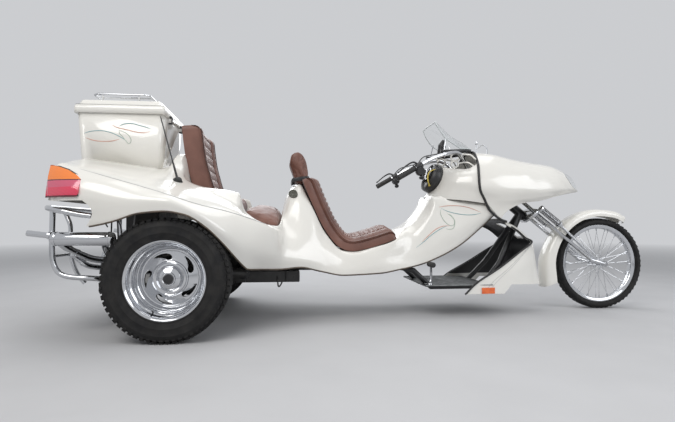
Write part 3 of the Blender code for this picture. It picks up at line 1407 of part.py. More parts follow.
def trunk(rows):
    """A tapered box, open on top, whose foot follows the falling deck, with the hinges' fixed halves."""
    foot = DECK_FRONT[1] - 0.05
    outer = ring_solid(
        "trunk",
        [
            box_loop(BOX_BOTTOM_X, BOX_BOTTOM_HALF, foot),
            box_loop(BOX_TOP_X, BOX_TOP_HALF, BOX_TOP_Z),
            box_loop(BOX_TOP_X, BOX_TOP_HALF, BOX_TOP_Z + 0.06),
        ],
    )
    soften(outer, 0.03, 2, 60)
    floor_z = DECK_REAR[1] + 0.03
    share = (floor_z - foot) / (BOX_TOP_Z - foot)
    half = BOX_BOTTOM_HALF + (BOX_TOP_HALF - BOX_BOTTOM_HALF) * share
    xs = [low + (high - low) * share for low, high in zip(BOX_BOTTOM_X, BOX_TOP_X)]
    inner = ring_solid(
        "hollow",
        [
            box_loop(xs, half, floor_z, BOX_WALL),
            box_loop(BOX_TOP_X, BOX_TOP_HALF, BOX_TOP_Z, BOX_WALL),
            box_loop(BOX_TOP_X, BOX_TOP_HALF, BOX_TOP_Z + 0.08, BOX_WALL),
        ],
    )
    cut(outer, inner, block("above", (-1, -1, BOX_TOP_Z), (0.3, 1, BOX_TOP_Z + 0.1)), under_body(rows))
    front = LID_HINGE.x + PIN_RADIUS - 0.0005
    for y in HINGE_PLACES:
        low, high = y - KNUCKLE_HALF, y + KNUCKLE_HALF
        leaf = block("leaf", (BOX_TOP_X[1] - 0.006, low, BOX_TOP_Z - 0.03), (front, high, BOX_TOP_Z - 0.002))
        ear = block("ear", (2 * LID_HINGE.x - front, low, BOX_TOP_Z - 0.01), (front, high, LID_HINGE.z))
        ends = [LID_HINGE + Vector((0, low, 0)), LID_HINGE + Vector((0, high + 2 * KNUCKLE_HALF, 0))]
        join(outer, leaf, ear, tube("pin", ends, PIN_RADIUS, sides=10), solver="MANIFOLD")
    return drop_offcuts(outer)


def lid():
    """The trunk's lid: a shallow moulded cap wider than the box, with the hinges' moving halves."""
    low_z, high_z = BOX_TOP_Z + SEAT_GAP, BOX_TOP_Z + LID_HEIGHT
    xs = (BOX_TOP_X[0] - LID_LIP, BOX_TOP_X[1] + LID_LIP)
    half = BOX_TOP_HALF + LID_LIP
    cap = ring_solid(
        "trunk_lid",
        [
            box_loop(xs, half, low_z - 0.05),
            box_loop(xs, half, low_z + 0.050),
            box_loop(xs, half, low_z + 0.056, 0.022),
            box_loop(xs, half, high_z, 0.034),
        ],
    )
    soften(cap, 0.018, 2, 60)
    hollow = ring_solid(
        "hollow",
        [
            box_loop(xs, half, low_z - 0.06, LID_WALL + LID_LIP),
            box_loop(xs, half, low_z, LID_WALL + LID_LIP),
            box_loop(xs, half, high_z - LID_WALL, LID_WALL + 0.030),
        ],
    )
    cut(cap, hollow, block("below", (-1, -1, 1.0), (0.3, 1, low_z)), solver="MANIFOLD")
    bore = (PIN_RADIUS + RUNNING_GAP) / math.cos(math.pi / 10)
    for y in HINGE_PLACES:
        low, high = y + KNUCKLE_HALF + 2 * SEAT_GAP, y + 3 * KNUCKLE_HALF - 2 * SEAT_GAP
        wall = [(bore, low), (2 * PIN_RADIUS, low), (2 * PIN_RADIUS, high), (bore, high)]
        join(cap, turned("knuckle", wall, LID_HINGE, segments=10), solver="MANIFOLD")
    return cap


def rack():
    """A chrome luggage rack on four feet."""
    z = BOX_TOP_Z + RACK_HEIGHT + LID_HEIGHT
    corners = [(-0.60, -0.19), (-0.26, -0.19), (-0.26, 0.19), (-0.60, 0.19)]
    outline = []
    for (x, y), (dx, dy) in zip(corners, ((1, 1), (-1, 1), (-1, -1), (1, -1))):
        outline += [
            (x, y + 0.03 * dy), (x + 0.03 * dx, y),
        ] if dx * dy > 0 else [(x + 0.03 * dx, y), (x, y + 0.03 * dy)]
    ring = [Vector((x, y, z)) for x, y in outline]
    hoop = closed_tube("lid_rack", ring, 0.007, sides=6)
    for y in (-0.10, 0.0, 0.10):
        join(hoop, tube("slat", [(-0.60, y, z), (-0.26, y, z)], 0.0055, sides=6))
    for x in (-0.54, -0.32):
        for side in (-1, 1):
            join(
                hoop,
                tube(
                    "foot",
                    [(x, side * 0.19, z), (x, side * 0.19, BOX_TOP_Z + LID_HEIGHT + SEAT_GAP)],
                    0.006, sides=6,
                ),
            )
    return hoop


def closed_tube(name, path, radius, sides=8):
    """A round bar bent into a flat closed hoop."""
    rings = []
    count = len(path)
    for i, spot in enumerate(path):
        heading = (path[(i + 1) % count] - path[i - 1]).normalized()
        side = heading.cross(Vector((0, 0, 1)))
        rings.append(
            [
                spot + radius * (
                    math.cos(
                        2 * math.pi * k / sides
                    ) * side + math.sin(2 * math.pi * k / sides) * Vector((0, 0, 1))
                )
                for k in range(sides)
            ]
        )
    return ring_solid(name, rings, closed=True)


def tail_lamp(word, side, rows):
    """A wrap-round lamp on the fender's rear corner: amber above, red below."""
    low, high = sorted((side * 0.60, side * 0.90))
    slab = block("tail_lamp_" + word, (-0.68, low, 0.752), (-0.425, high, 0.925))
    combine(slab, filled("volume", rows, 0.016), "INTERSECT", "MANIFOLD")
    return cut(slab, under_body(rows), solver="MANIFOLD")


def antenna(rows):
    """A thin mast that leans back from a ball foot on the right fender."""
    foot = Vector((0.002, -0.55, 0.862))
    tip = Vector((-0.12, -0.46, 1.247))
    mast = tube("antenna", [foot, tip], 0.004, sides=6)
    ball = spun_solid(
        "ball", [(0, -0.02), (0.016, -0.014), (0.018, 0.0), (0.012, 0.012), (0, 0.016)], foot,
        axis="Z", segments=12,
    )
    join(mast, ball)
    return cut(mast, under_body(rows))


def main():
    rows = body_rows()
    rear_wheel("right", -1)
    rear_wheel("left", 1)
    front_wheel()
    fender = front_fender()
    legs = fork(fender)
    bar, half_path = handlebar(legs)
    for word, side in (("right", -1), ("left", 1)):
        finish(spring_leg(word, side, legs), CHROME, STEERING)
        finish(grip(word, side, half_path, bar), RUBBER, STEERING)
    finish(legs, CHROME, STEERING)
    finish(bar, CHROME, STEERING)
    finish(fender, WHITE, STEERING)
    shell = body_shell(rows)
    driver = seat("driver_seat", DRIVER_PATH, 0.25, 0.062, 0.118, rows)
    passenger = seat("passenger_seat", PASSENGER_PATH, 0.285, 0.080, 0.120, rows)
    rest = headrest(rows, driver)
    pad = saddle_pad(rows, passenger)
    for piece in (driver, passenger, rest, pad):
        finish(piece, BROWN, TRIKE)
    edging = tube("cowl_edging", edging_path(), EDGING_RADIUS, sides=6)
    corner = block("corner", (2.00, -0.30, 0.60), (2.07, 0.30, 0.718))
    drop_offcuts(cut(edging, corner, solver="MANIFOLD"))
    cowl = dash_cowl(rows)
    cluster = gauge_cluster(cowl)
    nose = drop_offcuts(cut(nose_cowl(), grown_copy(shell), solver="MANIFOLD"))
    screen = windshield()
    lamp = headlamp(nose)
    cover = headlamp_cover(nose)
    screen_frame = windshield_frame(screen, cowl, nose, edging)
    finish(cowl, WHITE, TRIKE)
    finish(nose, WHITE, TRIKE)
    finish(edging, RUBBER, TRIKE)
    finish(cluster, BLACK, TRIKE)
    finish(screen, GLASS, TRIKE)
    finish(screen_frame, BLACK, TRIKE)
    finish(lamp, CHROME, TRIKE)
    finish(cover, GLASS, TRIKE)
    axle = rear_axle()
    chassis = frame()
    cut(shell, grown_copy(chassis), solver="MANIFOLD")
    finish(shell, WHITE, TRIKE, 30)
    shield = leg_shield()
    liner = shield_liner()
    board = floor_plate(chassis, liner, shield)
    finish(nose_stem(), CHROME, TRIKE)
    for word, side in (("right", -1), ("left", 1)):
        finish(reflector(word, side, shield), AMBER, TRIKE)
        finish(pedal(word, side), CHROME, TRIKE)
    finish(board, STEEL, TRIKE)
    finish(shield, WHITE, TRIKE)
    finish(liner, BLACK, TRIKE)
    motor = engine()
    finish(fan_shroud(), BLACK, TRIKE)
    exhausts = [exhaust(word, side, motor) for word, side in (("right", -1), ("left", 1))]
    hoop = bumper(chassis, exhausts)
    for piece in exhausts + [hoop]:
        finish(piece, CHROME, TRIKE)
    finish(motor, ALLOY, TRIKE)
    finish(axle, ALLOY, TRIKE)
    finish(chassis, BLACK, TRIKE)
    finish(trunk(rows), WHITE, TRIKE)
    finish(lid(), WHITE, LID)
    finish(rack(), CHROME, LID)
    finish(tail_lamp("right", -1, rows), RED, TRIKE)
    finish(tail_lamp("left", 1, rows), RED, TRIKE)
    finish(antenna(rows), BLACK, TRIKE)


main()
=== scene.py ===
"""The dressed motor trike: every visible piece in its own finish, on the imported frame."""

import math
import bpy
import numpy as np
from mathutils import Matrix, Vector


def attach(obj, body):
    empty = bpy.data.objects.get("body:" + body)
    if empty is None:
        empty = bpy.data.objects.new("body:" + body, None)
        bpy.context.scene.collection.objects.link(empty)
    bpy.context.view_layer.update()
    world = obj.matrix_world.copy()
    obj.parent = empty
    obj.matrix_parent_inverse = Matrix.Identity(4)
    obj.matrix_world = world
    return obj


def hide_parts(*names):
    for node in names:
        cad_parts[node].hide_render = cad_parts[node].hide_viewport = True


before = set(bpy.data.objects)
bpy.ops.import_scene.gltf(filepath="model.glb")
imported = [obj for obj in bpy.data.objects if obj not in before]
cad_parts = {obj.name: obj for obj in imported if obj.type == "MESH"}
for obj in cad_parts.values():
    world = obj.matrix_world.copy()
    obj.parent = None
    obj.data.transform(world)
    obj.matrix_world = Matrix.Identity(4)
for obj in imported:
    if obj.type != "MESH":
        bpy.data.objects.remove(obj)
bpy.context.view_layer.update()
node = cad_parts
bpy.ops.object.select_all(action="DESELECT")


# The photograph's view
# The lens stands 3.4 m to the right of the machine at knee height and looks a little
# towards its nose, so that both right wheels and the inside of the left fender show.
bpy.ops.object.camera_add(
    location=(-0.614, -3.420, 0.61),
    rotation=(math.radians(91.64), 0, math.radians(-6.15)),
)
camera = bpy.context.object
camera.data.lens = 26.13
camera.data.sensor_width = 36
camera_at = Vector(camera.location)
bpy.context.scene.camera = camera
bpy.context.scene.view_settings.view_transform = "Standard"


# The studio: a pale floor that fades into a pale surround, and broad soft lamps
# The floor keeps the machine's shadow. Chrome and the windshield show the same surround
# as the camera does, with a lighter band of lamps above it.
PALE = (0.60, 0.61, 0.63)
world = bpy.data.worlds.new("studio")
bpy.context.scene.world = world
world.use_nodes = True
tree = world.node_tree
surround = tree.nodes["Background"]
surround.inputs["Color"].default_value = (*PALE, 1)
surround.inputs["Strength"].default_value = 1.0
even_light = tree.nodes.new("ShaderNodeBackground")
even_light.inputs["Color"].default_value = (0.93, 0.96, 1.0, 1)
even_light.inputs["Strength"].default_value = 0.36
path = tree.nodes.new("ShaderNodeLightPath")
seen = tree.nodes.new("ShaderNodeMath")
seen.operation = "MAXIMUM"
seen_too = tree.nodes.new("ShaderNodeMath")
seen_too.operation = "MAXIMUM"
which = tree.nodes.new("ShaderNodeMixShader")
tree.links.new(path.outputs["Is Camera Ray"], seen.inputs[0])
tree.links.new(path.outputs["Is Glossy Ray"], seen.inputs[1])
tree.links.new(seen.outputs[0], seen_too.inputs[0])
tree.links.new(path.outputs["Is Transmission Ray"], seen_too.inputs[1])
tree.links.new(seen_too.outputs[0], which.inputs["Fac"])
tree.links.new(even_light.outputs[0], which.inputs[1])
tree.links.new(surround.outputs[0], which.inputs[2])
tree.links.new(which.outputs[0], tree.nodes["World Output"].inputs["Surface"])

bpy.ops.mesh.primitive_circle_add(vertices=96, radius=40, fill_type="NGON")
floor = bpy.context.object
floor.name = "studio_floor"
concrete = bpy.data.materials.new("studio_floor")
concrete.use_nodes = True
tree = concrete.node_tree
shader = tree.nodes["Principled BSDF"]
shader.inputs["Roughness"].default_value = 0.85
place = tree.nodes.new("ShaderNodeTexCoord")
grain = tree.nodes.new("ShaderNodeTexNoise")
grain.inputs["Scale"].default_value = 3.0
grain.inputs["Detail"].default_value = 6.0
tint = tree.nodes.new("ShaderNodeValToRGB")
tint.color_ramp.elements[0].color = (0.50, 0.50, 0.51, 1)
tint.color_ramp.elements[1].color = (0.56, 0.56, 0.57, 1)
reach = tree.nodes.new("ShaderNodeVectorMath")
reach.operation = "LENGTH"
fade = tree.nodes.new("ShaderNodeMapRange")
fade.inputs["From Min"].default_value = 5.0
fade.inputs["From Max"].default_value = 16.0
glow = tree.nodes.new("ShaderNodeEmission")
glow.inputs["Color"].default_value = (*PALE, 1)
blend = tree.nodes.new("ShaderNodeMixShader")
tree.links.new(place.outputs["Object"], grain.inputs["Vector"])
tree.links.new(grain.outputs["Fac"], tint.inputs["Fac"])
tree.links.new(tint.outputs["Color"], shader.inputs["Base Color"])
tree.links.new(place.outputs["Object"], reach.inputs[0])
tree.links.new(reach.outputs["Value"], fade.inputs["Value"])
tree.links.new(fade.outputs["Result"], blend.inputs["Fac"])
tree.links.new(shader.outputs[0], blend.inputs[1])
tree.links.new(glow.outputs[0], blend.inputs[2])
tree.links.new(blend.outputs[0], tree.nodes["Material Output"].inputs["Surface"])
floor.data.materials.append(concrete)

for label, place, size, power, colour in (
    ("key_lamp", (-2.6, -4.2, 4.6), 3.6, 178, (1.0, 0.985, 0.96)),
    ("fill_lamp", (3.8, -3.4, 2.8), 3.0, 90, (0.95, 0.97, 1.0)),
    ("top_lamp", (0.2, 0.6, 5.4), 4.5, 96, (1.0, 1.0, 1.0)),
    ("far_lamp", (-1.0, 4.6, 3.4), 3.2, 90, (0.96, 0.98, 1.0)),
):
    aim = (Vector((0, 0, 0.5)) - Vector(place)).to_track_quat("-Z", "Y").to_euler()
    bpy.ops.object.light_add(type="AREA", location=place, rotation=aim)
    lamp = bpy.context.object
    lamp.name = label
    lamp.data.size = size
    lamp.data.energy = power
    lamp.data.color = colour


# The glass-fibre body: tail, rear fenders, both seat pans, the hump and the tunnel
# One ivory gelcoat moulding about 8 mm thick, black with stone guard on its inside. It is
# laid over the same lines as the frame's shell, with many more stations between them.
REAR_AXLE = -1.222
SHIFT = np.array([REAR_AXLE, 0, 0])
MIRROR = np.array([1, -1, 1])
SHELL = 0.008
MERGE = 0.00002


def finish_of(name, colour, roughness, metallic=0.0):
    """A material with its own shader, whose plain numbers sit on the shader's sockets."""
    made = bpy.data.materials.new(name)
    made.use_nodes = True
    shader = made.node_tree.nodes["Principled BSDF"]
    shader.inputs["Base Color"].default_value = (*colour, 1)
    shader.inputs["Roughness"].default_value = roughness
    shader.inputs["Metallic"].default_value = metallic
    return made, shader


def wire_noise(made, scale, detail=4.0, stretch=(1, 1, 1)):
    """Noise on the piece's own coordinates, stretched where the grain runs one way."""
    tree = made.node_tree
    coords = tree.nodes.new("ShaderNodeTexCoord")
    turn = tree.nodes.new("ShaderNodeMapping")
    turn.inputs["Scale"].default_value = stretch
    noise = tree.nodes.new("ShaderNodeTexNoise")
    noise.inputs["Scale"].default_value = scale
    noise.inputs["Detail"].default_value = detail
    tree.links.new(coords.outputs["Object"], turn.inputs["Vector"])
    tree.links.new(turn.outputs["Vector"], noise.inputs["Vector"])
    return noise.outputs["Fac"]


def tint_by(made, shader, source, dark, light, low=0.3, high=0.7):
    """Let the colour wander between a dark and a light one with the noise."""
    ramp = made.node_tree.nodes.new("ShaderNodeValToRGB")
    ramp.color_ramp.elements[0].position = low
    ramp.color_ramp.elements[0].color = (*dark, 1)
    ramp.color_ramp.elements[1].position = high
    ramp.color_ramp.elements[1].color = (*light, 1)
    made.node_tree.links.new(source, ramp.inputs["Fac"])
    made.node_tree.links.new(ramp.outputs["Color"], shader.inputs["Base Color"])


def mottled(name, colour, roughness, scale, dark, light, metallic=0.0):
    """A material whose colour wanders a little between a dark and a light one."""
    made, shader = finish_of(name, colour, roughness, metallic)
    tint_by(made, shader, wire_noise(made, scale), dark, light)
    return made, shader


def rough_by(made, shader, source, low, high):
    """Let the roughness wander between two values with the noise."""
    spread = made.node_tree.nodes.new("ShaderNodeMapRange")
    spread.inputs["From Min"].default_value = 0.3
    spread.inputs["From Max"].default_value = 0.7
    spread.inputs["To Min"].default_value = low
    spread.inputs["To Max"].default_value = high
    made.node_tree.links.new(source, spread.inputs["Value"])
    made.node_tree.links.new(spread.outputs["Result"], shader.inputs["Roughness"])


def bump_by(made, shader, source, distance, strength=1.0):
    """Raise the surface by the noise."""
    bump = made.node_tree.nodes.new("ShaderNodeBump")
    bump.inputs["Distance"].default_value = distance
    bump.inputs["Strength"].default_value = strength
    made.node_tree.links.new(source, bump.inputs["Height"])
    made.node_tree.links.new(bump.outputs["Normal"], shader.inputs["Normal"])


gelcoat, shader = finish_of("ivory_gelcoat", (0.80, 0.785, 0.74), 0.16)
shader.inputs["Coat Weight"].default_value = 0.6
shader.inputs["Coat Roughness"].default_value = 0.06
tint_by(gelcoat, shader, wire_noise(gelcoat, 1.6, 3), (0.77, 0.75, 0.70), (0.815, 0.80, 0.755))
rough_by(gelcoat, shader, wire_noise(gelcoat, 5.0, 5), 0.12, 0.24)
bump_by(gelcoat, shader, wire_noise(gelcoat, 14.0, 2), 0.0012, 0.25)

underside, shader = mottled("stone_guard", (0.018, 0.018, 0.019), 0.8, 60.0, (0.012, 0.012, 0.012),
                            (0.05, 0.048, 0.045))
bump_by(underside, shader, wire_noise(underside, 260.0), 0.002, 0.7)


def steady(xs, values, x):
    """A curve through the values without overshoot, at the places x."""
    xs, values, x = np.array(xs, float), np.array(values, float), np.array(x, float)
    gaps = np.diff(xs)
    rises = np.diff(values) / gaps
    slopes = np.concatenate([[rises[0]], np.zeros(len(xs) - 2), [rises[-1]]])
    for i in range(1, len(xs) - 1):
        before, after = rises[i - 1], rises[i]
        if before * after > 0:
            w1 = 2 * gaps[i] + gaps[i - 1]
            w2 = gaps[i] + 2 * gaps[i - 1]
            slopes[i] = (w1 + w2) / (w1 / before + w2 / after)
    at = np.clip(x, xs[0], xs[-1])
    i = np.clip(np.searchsorted(xs, at) - 1, 0, len(xs) - 2)
    t = (at - xs[i]) / gaps[i]
    rise = values[i + 1] - values[i]
    a, b = slopes[i] * gaps[i], slopes[i + 1] * gaps[i]
    return values[i] + t * a + t * t * (3 * rise - 2 * a - b) + t**3 * (a + b - 2 * rise)


def faired(points, steps):
    """Places along a smooth curve through the given points, with steps to each span."""
    p = np.array(points, float)
    ends = np.concatenate([[2 * p[0] - p[1]], p, [2 * p[-1] - p[-2]]])
    found = []
    for i in range(1, len(ends) - 2):
        p0, p1, p2, p3 = ends[i - 1 : i + 3]
        for t in np.arange(steps) / steps:
            found.append(
                0.5 * (2 * p1 + (p2 - p0) * t + (2 * p0 - 5 * p1 + 4 * p2 - p3) * t * t
                       + (3 * p1 - p0 - 3 * p2 + p3) * t**3)
            )
    return np.array(found + [p[-1]])


def net_piece(name, net):
    """A grid primitive laid over a net of places, which is rows by columns by xyz."""
    net = np.array(net, float)
    bpy.ops.mesh.primitive_grid_add(x_subdivisions=net.shape[1] - 1, y_subdivisions=net.shape[0] - 1)
    piece = bpy.context.object
    piece.name = piece.data.name = name
    piece.data.vertices.foreach_set("co", net.reshape(-1))
    piece.data.update()
    return piece


def both_sides(half):
    """Rows that run from the middle out to the left, made whole: right edge, middle, left edge."""
    half = np.array(half, float)
    right = half[:, :0:-1] * MIRROR
    return np.concatenate([right, half], axis=1)


def mirrored(path):
    """A path that ends in the middle plane, carried on to the other side."""
    return list(path) + [p * MIRROR for p in path[-2::-1]]


def placed(path, side=1):
    """A path given from the rear axle, on one side of the machine, in the scene's own places."""
    return np.array(path) * np.array([1, side, 1]) + SHIFT


def pick(piece):
    """Make a piece the only one selected, and the active one."""
    bpy.ops.object.select_all(action="DESELECT")
    piece.select_set(True)
    bpy.context.view_layer.objects.active = piece


def apply_all(piece):
    """Apply a piece's modifiers in their order."""
    pick(piece)
    for step in list(piece.modifiers):
        bpy.ops.object.modifier_apply(modifier=step.name)


def weld(piece, distance=MERGE):
    """Join a piece's places that lie together, when its modifiers run."""
    step = piece.modifiers.new("weld", "WELD")
    step.merge_threshold = distance


def ease_edges(piece, width, segments, degrees):
    """Round off a piece's edges that are sharper than an angle."""
    step = piece.modifiers.new("edges", "BEVEL")
    step.width = width
    step.segments = segments
    step.limit_method = "ANGLE"
    step.angle_limit = math.radians(degrees)


def thicken(piece, wall, rim=0.0012, inner=0):
    """Give a sheet its wall on the side its faces turn away from, and ease its rim."""
    step = piece.modifiers.new("wall", "SOLIDIFY")
    step.thickness = wall
    step.offset = -1
    step.use_even_offset = True
    step.material_offset = inner
    if rim:
        ease_edges(piece, rim, 2, 60)
    apply_all(piece)


def dress(piece, finish, body, stands_for=(), angle=35):
    """Give a finished piece its material, its body and the nodes it stands for."""
    piece.data.materials.clear()
    for one in finish if isinstance(finish, tuple) else (finish,):
        piece.data.materials.append(one)
    pick(piece)
    bpy.ops.object.shade_smooth_by_angle(angle=math.radians(angle))
    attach(piece, body)
    if stands_for:
        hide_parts(*stands_for)


DECK = [(x, 1.022 - 0.1409 * (x + 0.60)) for x in (-0.60, -0.56, -0.20, -0.16)]
PAN = [(-0.10, 0.985), (-0.055, 1.055), (-0.015, 1.060), (0.030, 0.86), (0.075, 0.74), (0.12, 0.70),
       (0.335, 0.685), (0.375, 0.60), (0.565, 0.575)]
CREST = DECK + PAN + [
    (0.60, 0.760), (0.650, 0.862), (0.705, 0.895), (0.765, 0.795), (0.870, 0.570), (0.985, 0.450),
    (1.05, 0.440), (1.20, 0.472), (1.33, 0.518), (1.375, 0.570), (1.47, 0.631), (1.57, 0.745),
    (1.616, 0.815), (2.05, 0.722)]
BODY_LINES = (
    [(x, 0.0, z) for x, z in CREST],
    [(x, 0.171, z) for x, z in DECK] + [(x, 0.24, z) for x, z in PAN] + [
        (0.60, 0.10, 0.752), (0.650, 0.09, 0.856), (0.705, 0.09, 0.890), (0.765, 0.12, 0.790),
        (0.870, 0.15, 0.566), (0.985, 0.17, 0.447), (1.05, 0.17, 0.438), (1.20, 0.16, 0.470),
        (1.33, 0.13, 0.515), (1.375, 0.10, 0.568), (1.47, 0.06, 0.630), (1.57, 0.07, 0.742),
        (1.616, 0.09, 0.814), (2.05, 0.12, 0.744)],
    [(x, 0.285, z) for x, z in DECK] + [
        (-0.10, 0.33, 0.965), (-0.055, 0.33, 1.030), (-0.015, 0.36, 1.010), (0.030, 0.40, 0.82),
        (0.075, 0.415, 0.73), (0.12, 0.42, 0.70), (0.335, 0.42, 0.685), (0.375, 0.41, 0.60),
        (0.565, 0.40, 0.570), (0.60, 0.185, 0.715), (0.650, 0.17, 0.822), (0.705, 0.17, 0.868),
        (0.765, 0.215, 0.775), (0.870, 0.245, 0.560), (0.985, 0.26, 0.444), (1.05, 0.26, 0.436),
        (1.20, 0.25, 0.468), (1.33, 0.23, 0.512), (1.375, 0.19, 0.560), (1.47, 0.12, 0.620),
        (1.57, 0.125, 0.732), (1.616, 0.15, 0.810), (2.05, 0.20, 0.743)],
    [(-0.60, 0.42, 1.000), (-0.56, 0.42, 0.995), (-0.20, 0.42, 0.935), (-0.16, 0.42, 0.930),
     (-0.10, 0.42, 0.935), (-0.055, 0.42, 0.955), (-0.015, 0.43, 0.935), (0.030, 0.445, 0.880),
     (0.075, 0.45, 0.848), (0.12, 0.45, 0.832), (0.335, 0.45, 0.803), (0.375, 0.445, 0.688),
     (0.565, 0.43, 0.604), (0.60, 0.275, 0.660), (0.650, 0.25, 0.740), (0.705, 0.235, 0.790),
     (0.765, 0.25, 0.735), (0.870, 0.27, 0.548), (0.985, 0.285, 0.438), (1.05, 0.282, 0.430),
     (1.20, 0.272, 0.462), (1.33, 0.255, 0.505), (1.375, 0.235, 0.535), (1.47, 0.175, 0.592),
     (1.57, 0.175, 0.690), (1.616, 0.19, 0.770), (2.05, 0.245, 0.738)],
    [(-0.60, 0.60, 0.960), (-0.40, 0.61, 0.930), (-0.20, 0.62, 0.885), (0.0, 0.61, 0.850),
     (0.12, 0.59, 0.808), (0.335, 0.53, 0.722), (0.375, 0.52, 0.668), (0.565, 0.455, 0.590),
     (0.60, 0.360, 0.585), (0.705, 0.315, 0.620), (0.765, 0.315, 0.590), (0.870, 0.302, 0.500),
     (0.985, 0.300, 0.420), (1.20, 0.286, 0.430), (1.375, 0.252, 0.490), (1.47, 0.215, 0.540),
     (1.616, 0.215, 0.680), (2.05, 0.250, 0.728)],
    [(-0.60, 0.70, 0.935), (-0.47, 0.745, 0.897), (-0.24, 0.775, 0.845), (0.0, 0.775, 0.790),
     (0.16, 0.735, 0.738), (0.36, 0.645, 0.668), (0.565, 0.500, 0.560), (0.60, 0.425, 0.520),
     (0.705, 0.385, 0.500), (0.870, 0.335, 0.440), (0.985, 0.318, 0.385), (1.20, 0.298, 0.385),
     (1.47, 0.245, 0.440), (1.616, 0.235, 0.520), (1.80, 0.235, 0.600), (2.05, 0.235, 0.705)],
    [(-0.60, 0.735, 0.86), (-0.47, 0.815, 0.80), (-0.24, 0.850, 0.755), (0.0, 0.868, 0.745),
     (0.16, 0.840, 0.680), (0.29, 0.780, 0.590), (0.40, 0.680, 0.500), (0.565, 0.510, 0.440),
     (0.60, 0.470, 0.425), (0.705, 0.425, 0.410), (0.870, 0.355, 0.365), (0.985, 0.335, 0.335),
     (1.20, 0.305, 0.340), (1.47, 0.255, 0.380), (1.616, 0.235, 0.430), (1.80, 0.222, 0.520),
     (2.05, 0.215, 0.700)],
    [(-0.60, 0.735, 0.735), (-0.47, 0.800, 0.640), (-0.40, 0.800, 0.603), (-0.33, 0.815, 0.613),
     (-0.25, 0.835, 0.632), (-0.123, 0.858, 0.671), (0.0, 0.866, 0.681), (0.10, 0.855, 0.664),
     (0.194, 0.820, 0.605), (0.29, 0.760, 0.503), (0.363, 0.670, 0.405), (0.402, 0.610, 0.361),
     (0.466, 0.530, 0.353), (0.581, 0.455, 0.346), (0.702, 0.420, 0.354), (0.827, 0.370, 0.325),
     (0.988, 0.340, 0.295), (1.220, 0.300, 0.301), (1.356, 0.280, 0.323), (1.495, 0.255, 0.350),
     (1.638, 0.228, 0.400), (1.783, 0.212, 0.475), (1.932, 0.200, 0.590), (2.05, 0.195, 0.695)],
)
TAIL_FOOT = 0.739
TAIL_ROUND = 0.028
TAIL_END, TUNNEL_END = -0.60, 2.05
TAIL_BULGE = 0.012

stations = np.linspace(TAIL_END + TAIL_ROUND, TUNNEL_END, 250)
lines = np.array([
    np.stack([stations, steady(*[[p[i] for p in line] for i in (0, 1)], stations),
              steady(*[[p[i] for p in line] for i in (0, 2)], stations)], axis=1)
    for line in BODY_LINES
])
half_rows = [faired(lines[:, i], 6) for i in range(len(stations))]
first = half_rows[0]
along = np.gradient(first[:, 1:], axis=0)
along /= np.linalg.norm(along, axis=1)[:, None]
inward = np.stack([np.zeros(len(first)), along[:, 1], -along[:, 0]], axis=1)
corner = []
for turn in np.radians((18, 36, 54, 72, 90)):
    row = first + inward * TAIL_ROUND * (1 - math.cos(turn))
    row[:, 0] -= TAIL_ROUND * math.sin(turn)
    corner.append(row)
panel = []
for share in (0.8, 0.6, 0.4, 0.2, 0.0):
    row = corner[-1].copy()
    row[:, 0] -= TAIL_BULGE * (1 - share)
    row[:, 2] = TAIL_FOOT + (np.maximum(row[:, 2], TAIL_FOOT) - TAIL_FOOT) * share
    panel.append(row)
half_rows = panel[::-1] + corner[::-1] + half_rows
body_net = both_sides(half_rows) + SHIFT
body = net_piece("body_moulding", body_net)


def turn_out(piece, towards):
    """Turn the faces so that most of them look along a direction."""
    pick(piece)
    mesh = piece.data
    count = sum(1 for face in mesh.polygons if face.normal.dot(Vector(towards)) > 0)
    if count * 2 < len(mesh.polygons):
        bpy.ops.object.mode_set(mode="EDIT")
        bpy.ops.mesh.select_all(action="SELECT")
        bpy.ops.mesh.flip_normals()
        bpy.ops.object.mode_set(mode="OBJECT")


def outline_cutter(name, outline, low, high, axis="Y"):
    """A closed outline of places pushed through along an axis, to cut an opening with."""
    bpy.ops.mesh.primitive_circle_add(vertices=len(outline), radius=1, fill_type="NGON")
    tool = bpy.context.object
    tool.name = name
    for point, (a, b) in zip(tool.data.vertices, outline):
        point.co = {"Y": (a, low, b), "Z": (a, b, low), "X": (low, a, b)}[axis]
    step = {"Y": (0, high - low, 0), "Z": (0, 0, high - low), "X": (high - low, 0, 0)}[axis]
    bpy.ops.object.mode_set(mode="EDIT")
    bpy.ops.mesh.select_all(action="SELECT")
    bpy.ops.mesh.extrude_region_move(TRANSFORM_OT_translate={"value": step})
    bpy.ops.mesh.select_all(action="SELECT")
    bpy.ops.mesh.normals_make_consistent(inside=False)
    bpy.ops.object.mode_set(mode="OBJECT")
    return tool


def cut_out(piece, tool, operation="DIFFERENCE"):
    """Cut a piece by a tool, or keep only what lies inside it, and drop the tool."""
    step = piece.modifiers.new("opening", "BOOLEAN")
    step.operation = operation
    step.solver = "MANIFOLD"
    step.object = tool
    apply_all(piece)
    bpy.data.objects.remove(tool)


turn_out(body, (0, 0, 1))
thicken(body, SHELL, inner=1)
notch = [(-0.72, 0.40), (-0.401, 0.40), (-0.401, 0.600), (-0.385, 0.622), (-0.370, 0.648), (-0.362, 0.671),
         (-0.366, 0.692), (-0.380, 0.712), (-0.410, 0.735), (-0.72, 0.735)]
cut_out(body, outline_cutter("notch", [(x + REAR_AXLE, z) for x, z in notch], -1.0, 1.0))
dress(body, (gelcoat, underside), "chassis", ["body_shell"], 32)


# The nose: a second ivory moulding that reaches ahead over the fork like a beak
# Gelcoat over glass fibre, with fine creases pressed along its roof. A black rubber edging
# joins it to the fairing round the instruments.
def run_along(line):
    """How far along a line each of its places lies."""
    return np.concatenate([[0], np.cumsum(np.linalg.norm(np.diff(line, axis=0), axis=1))])


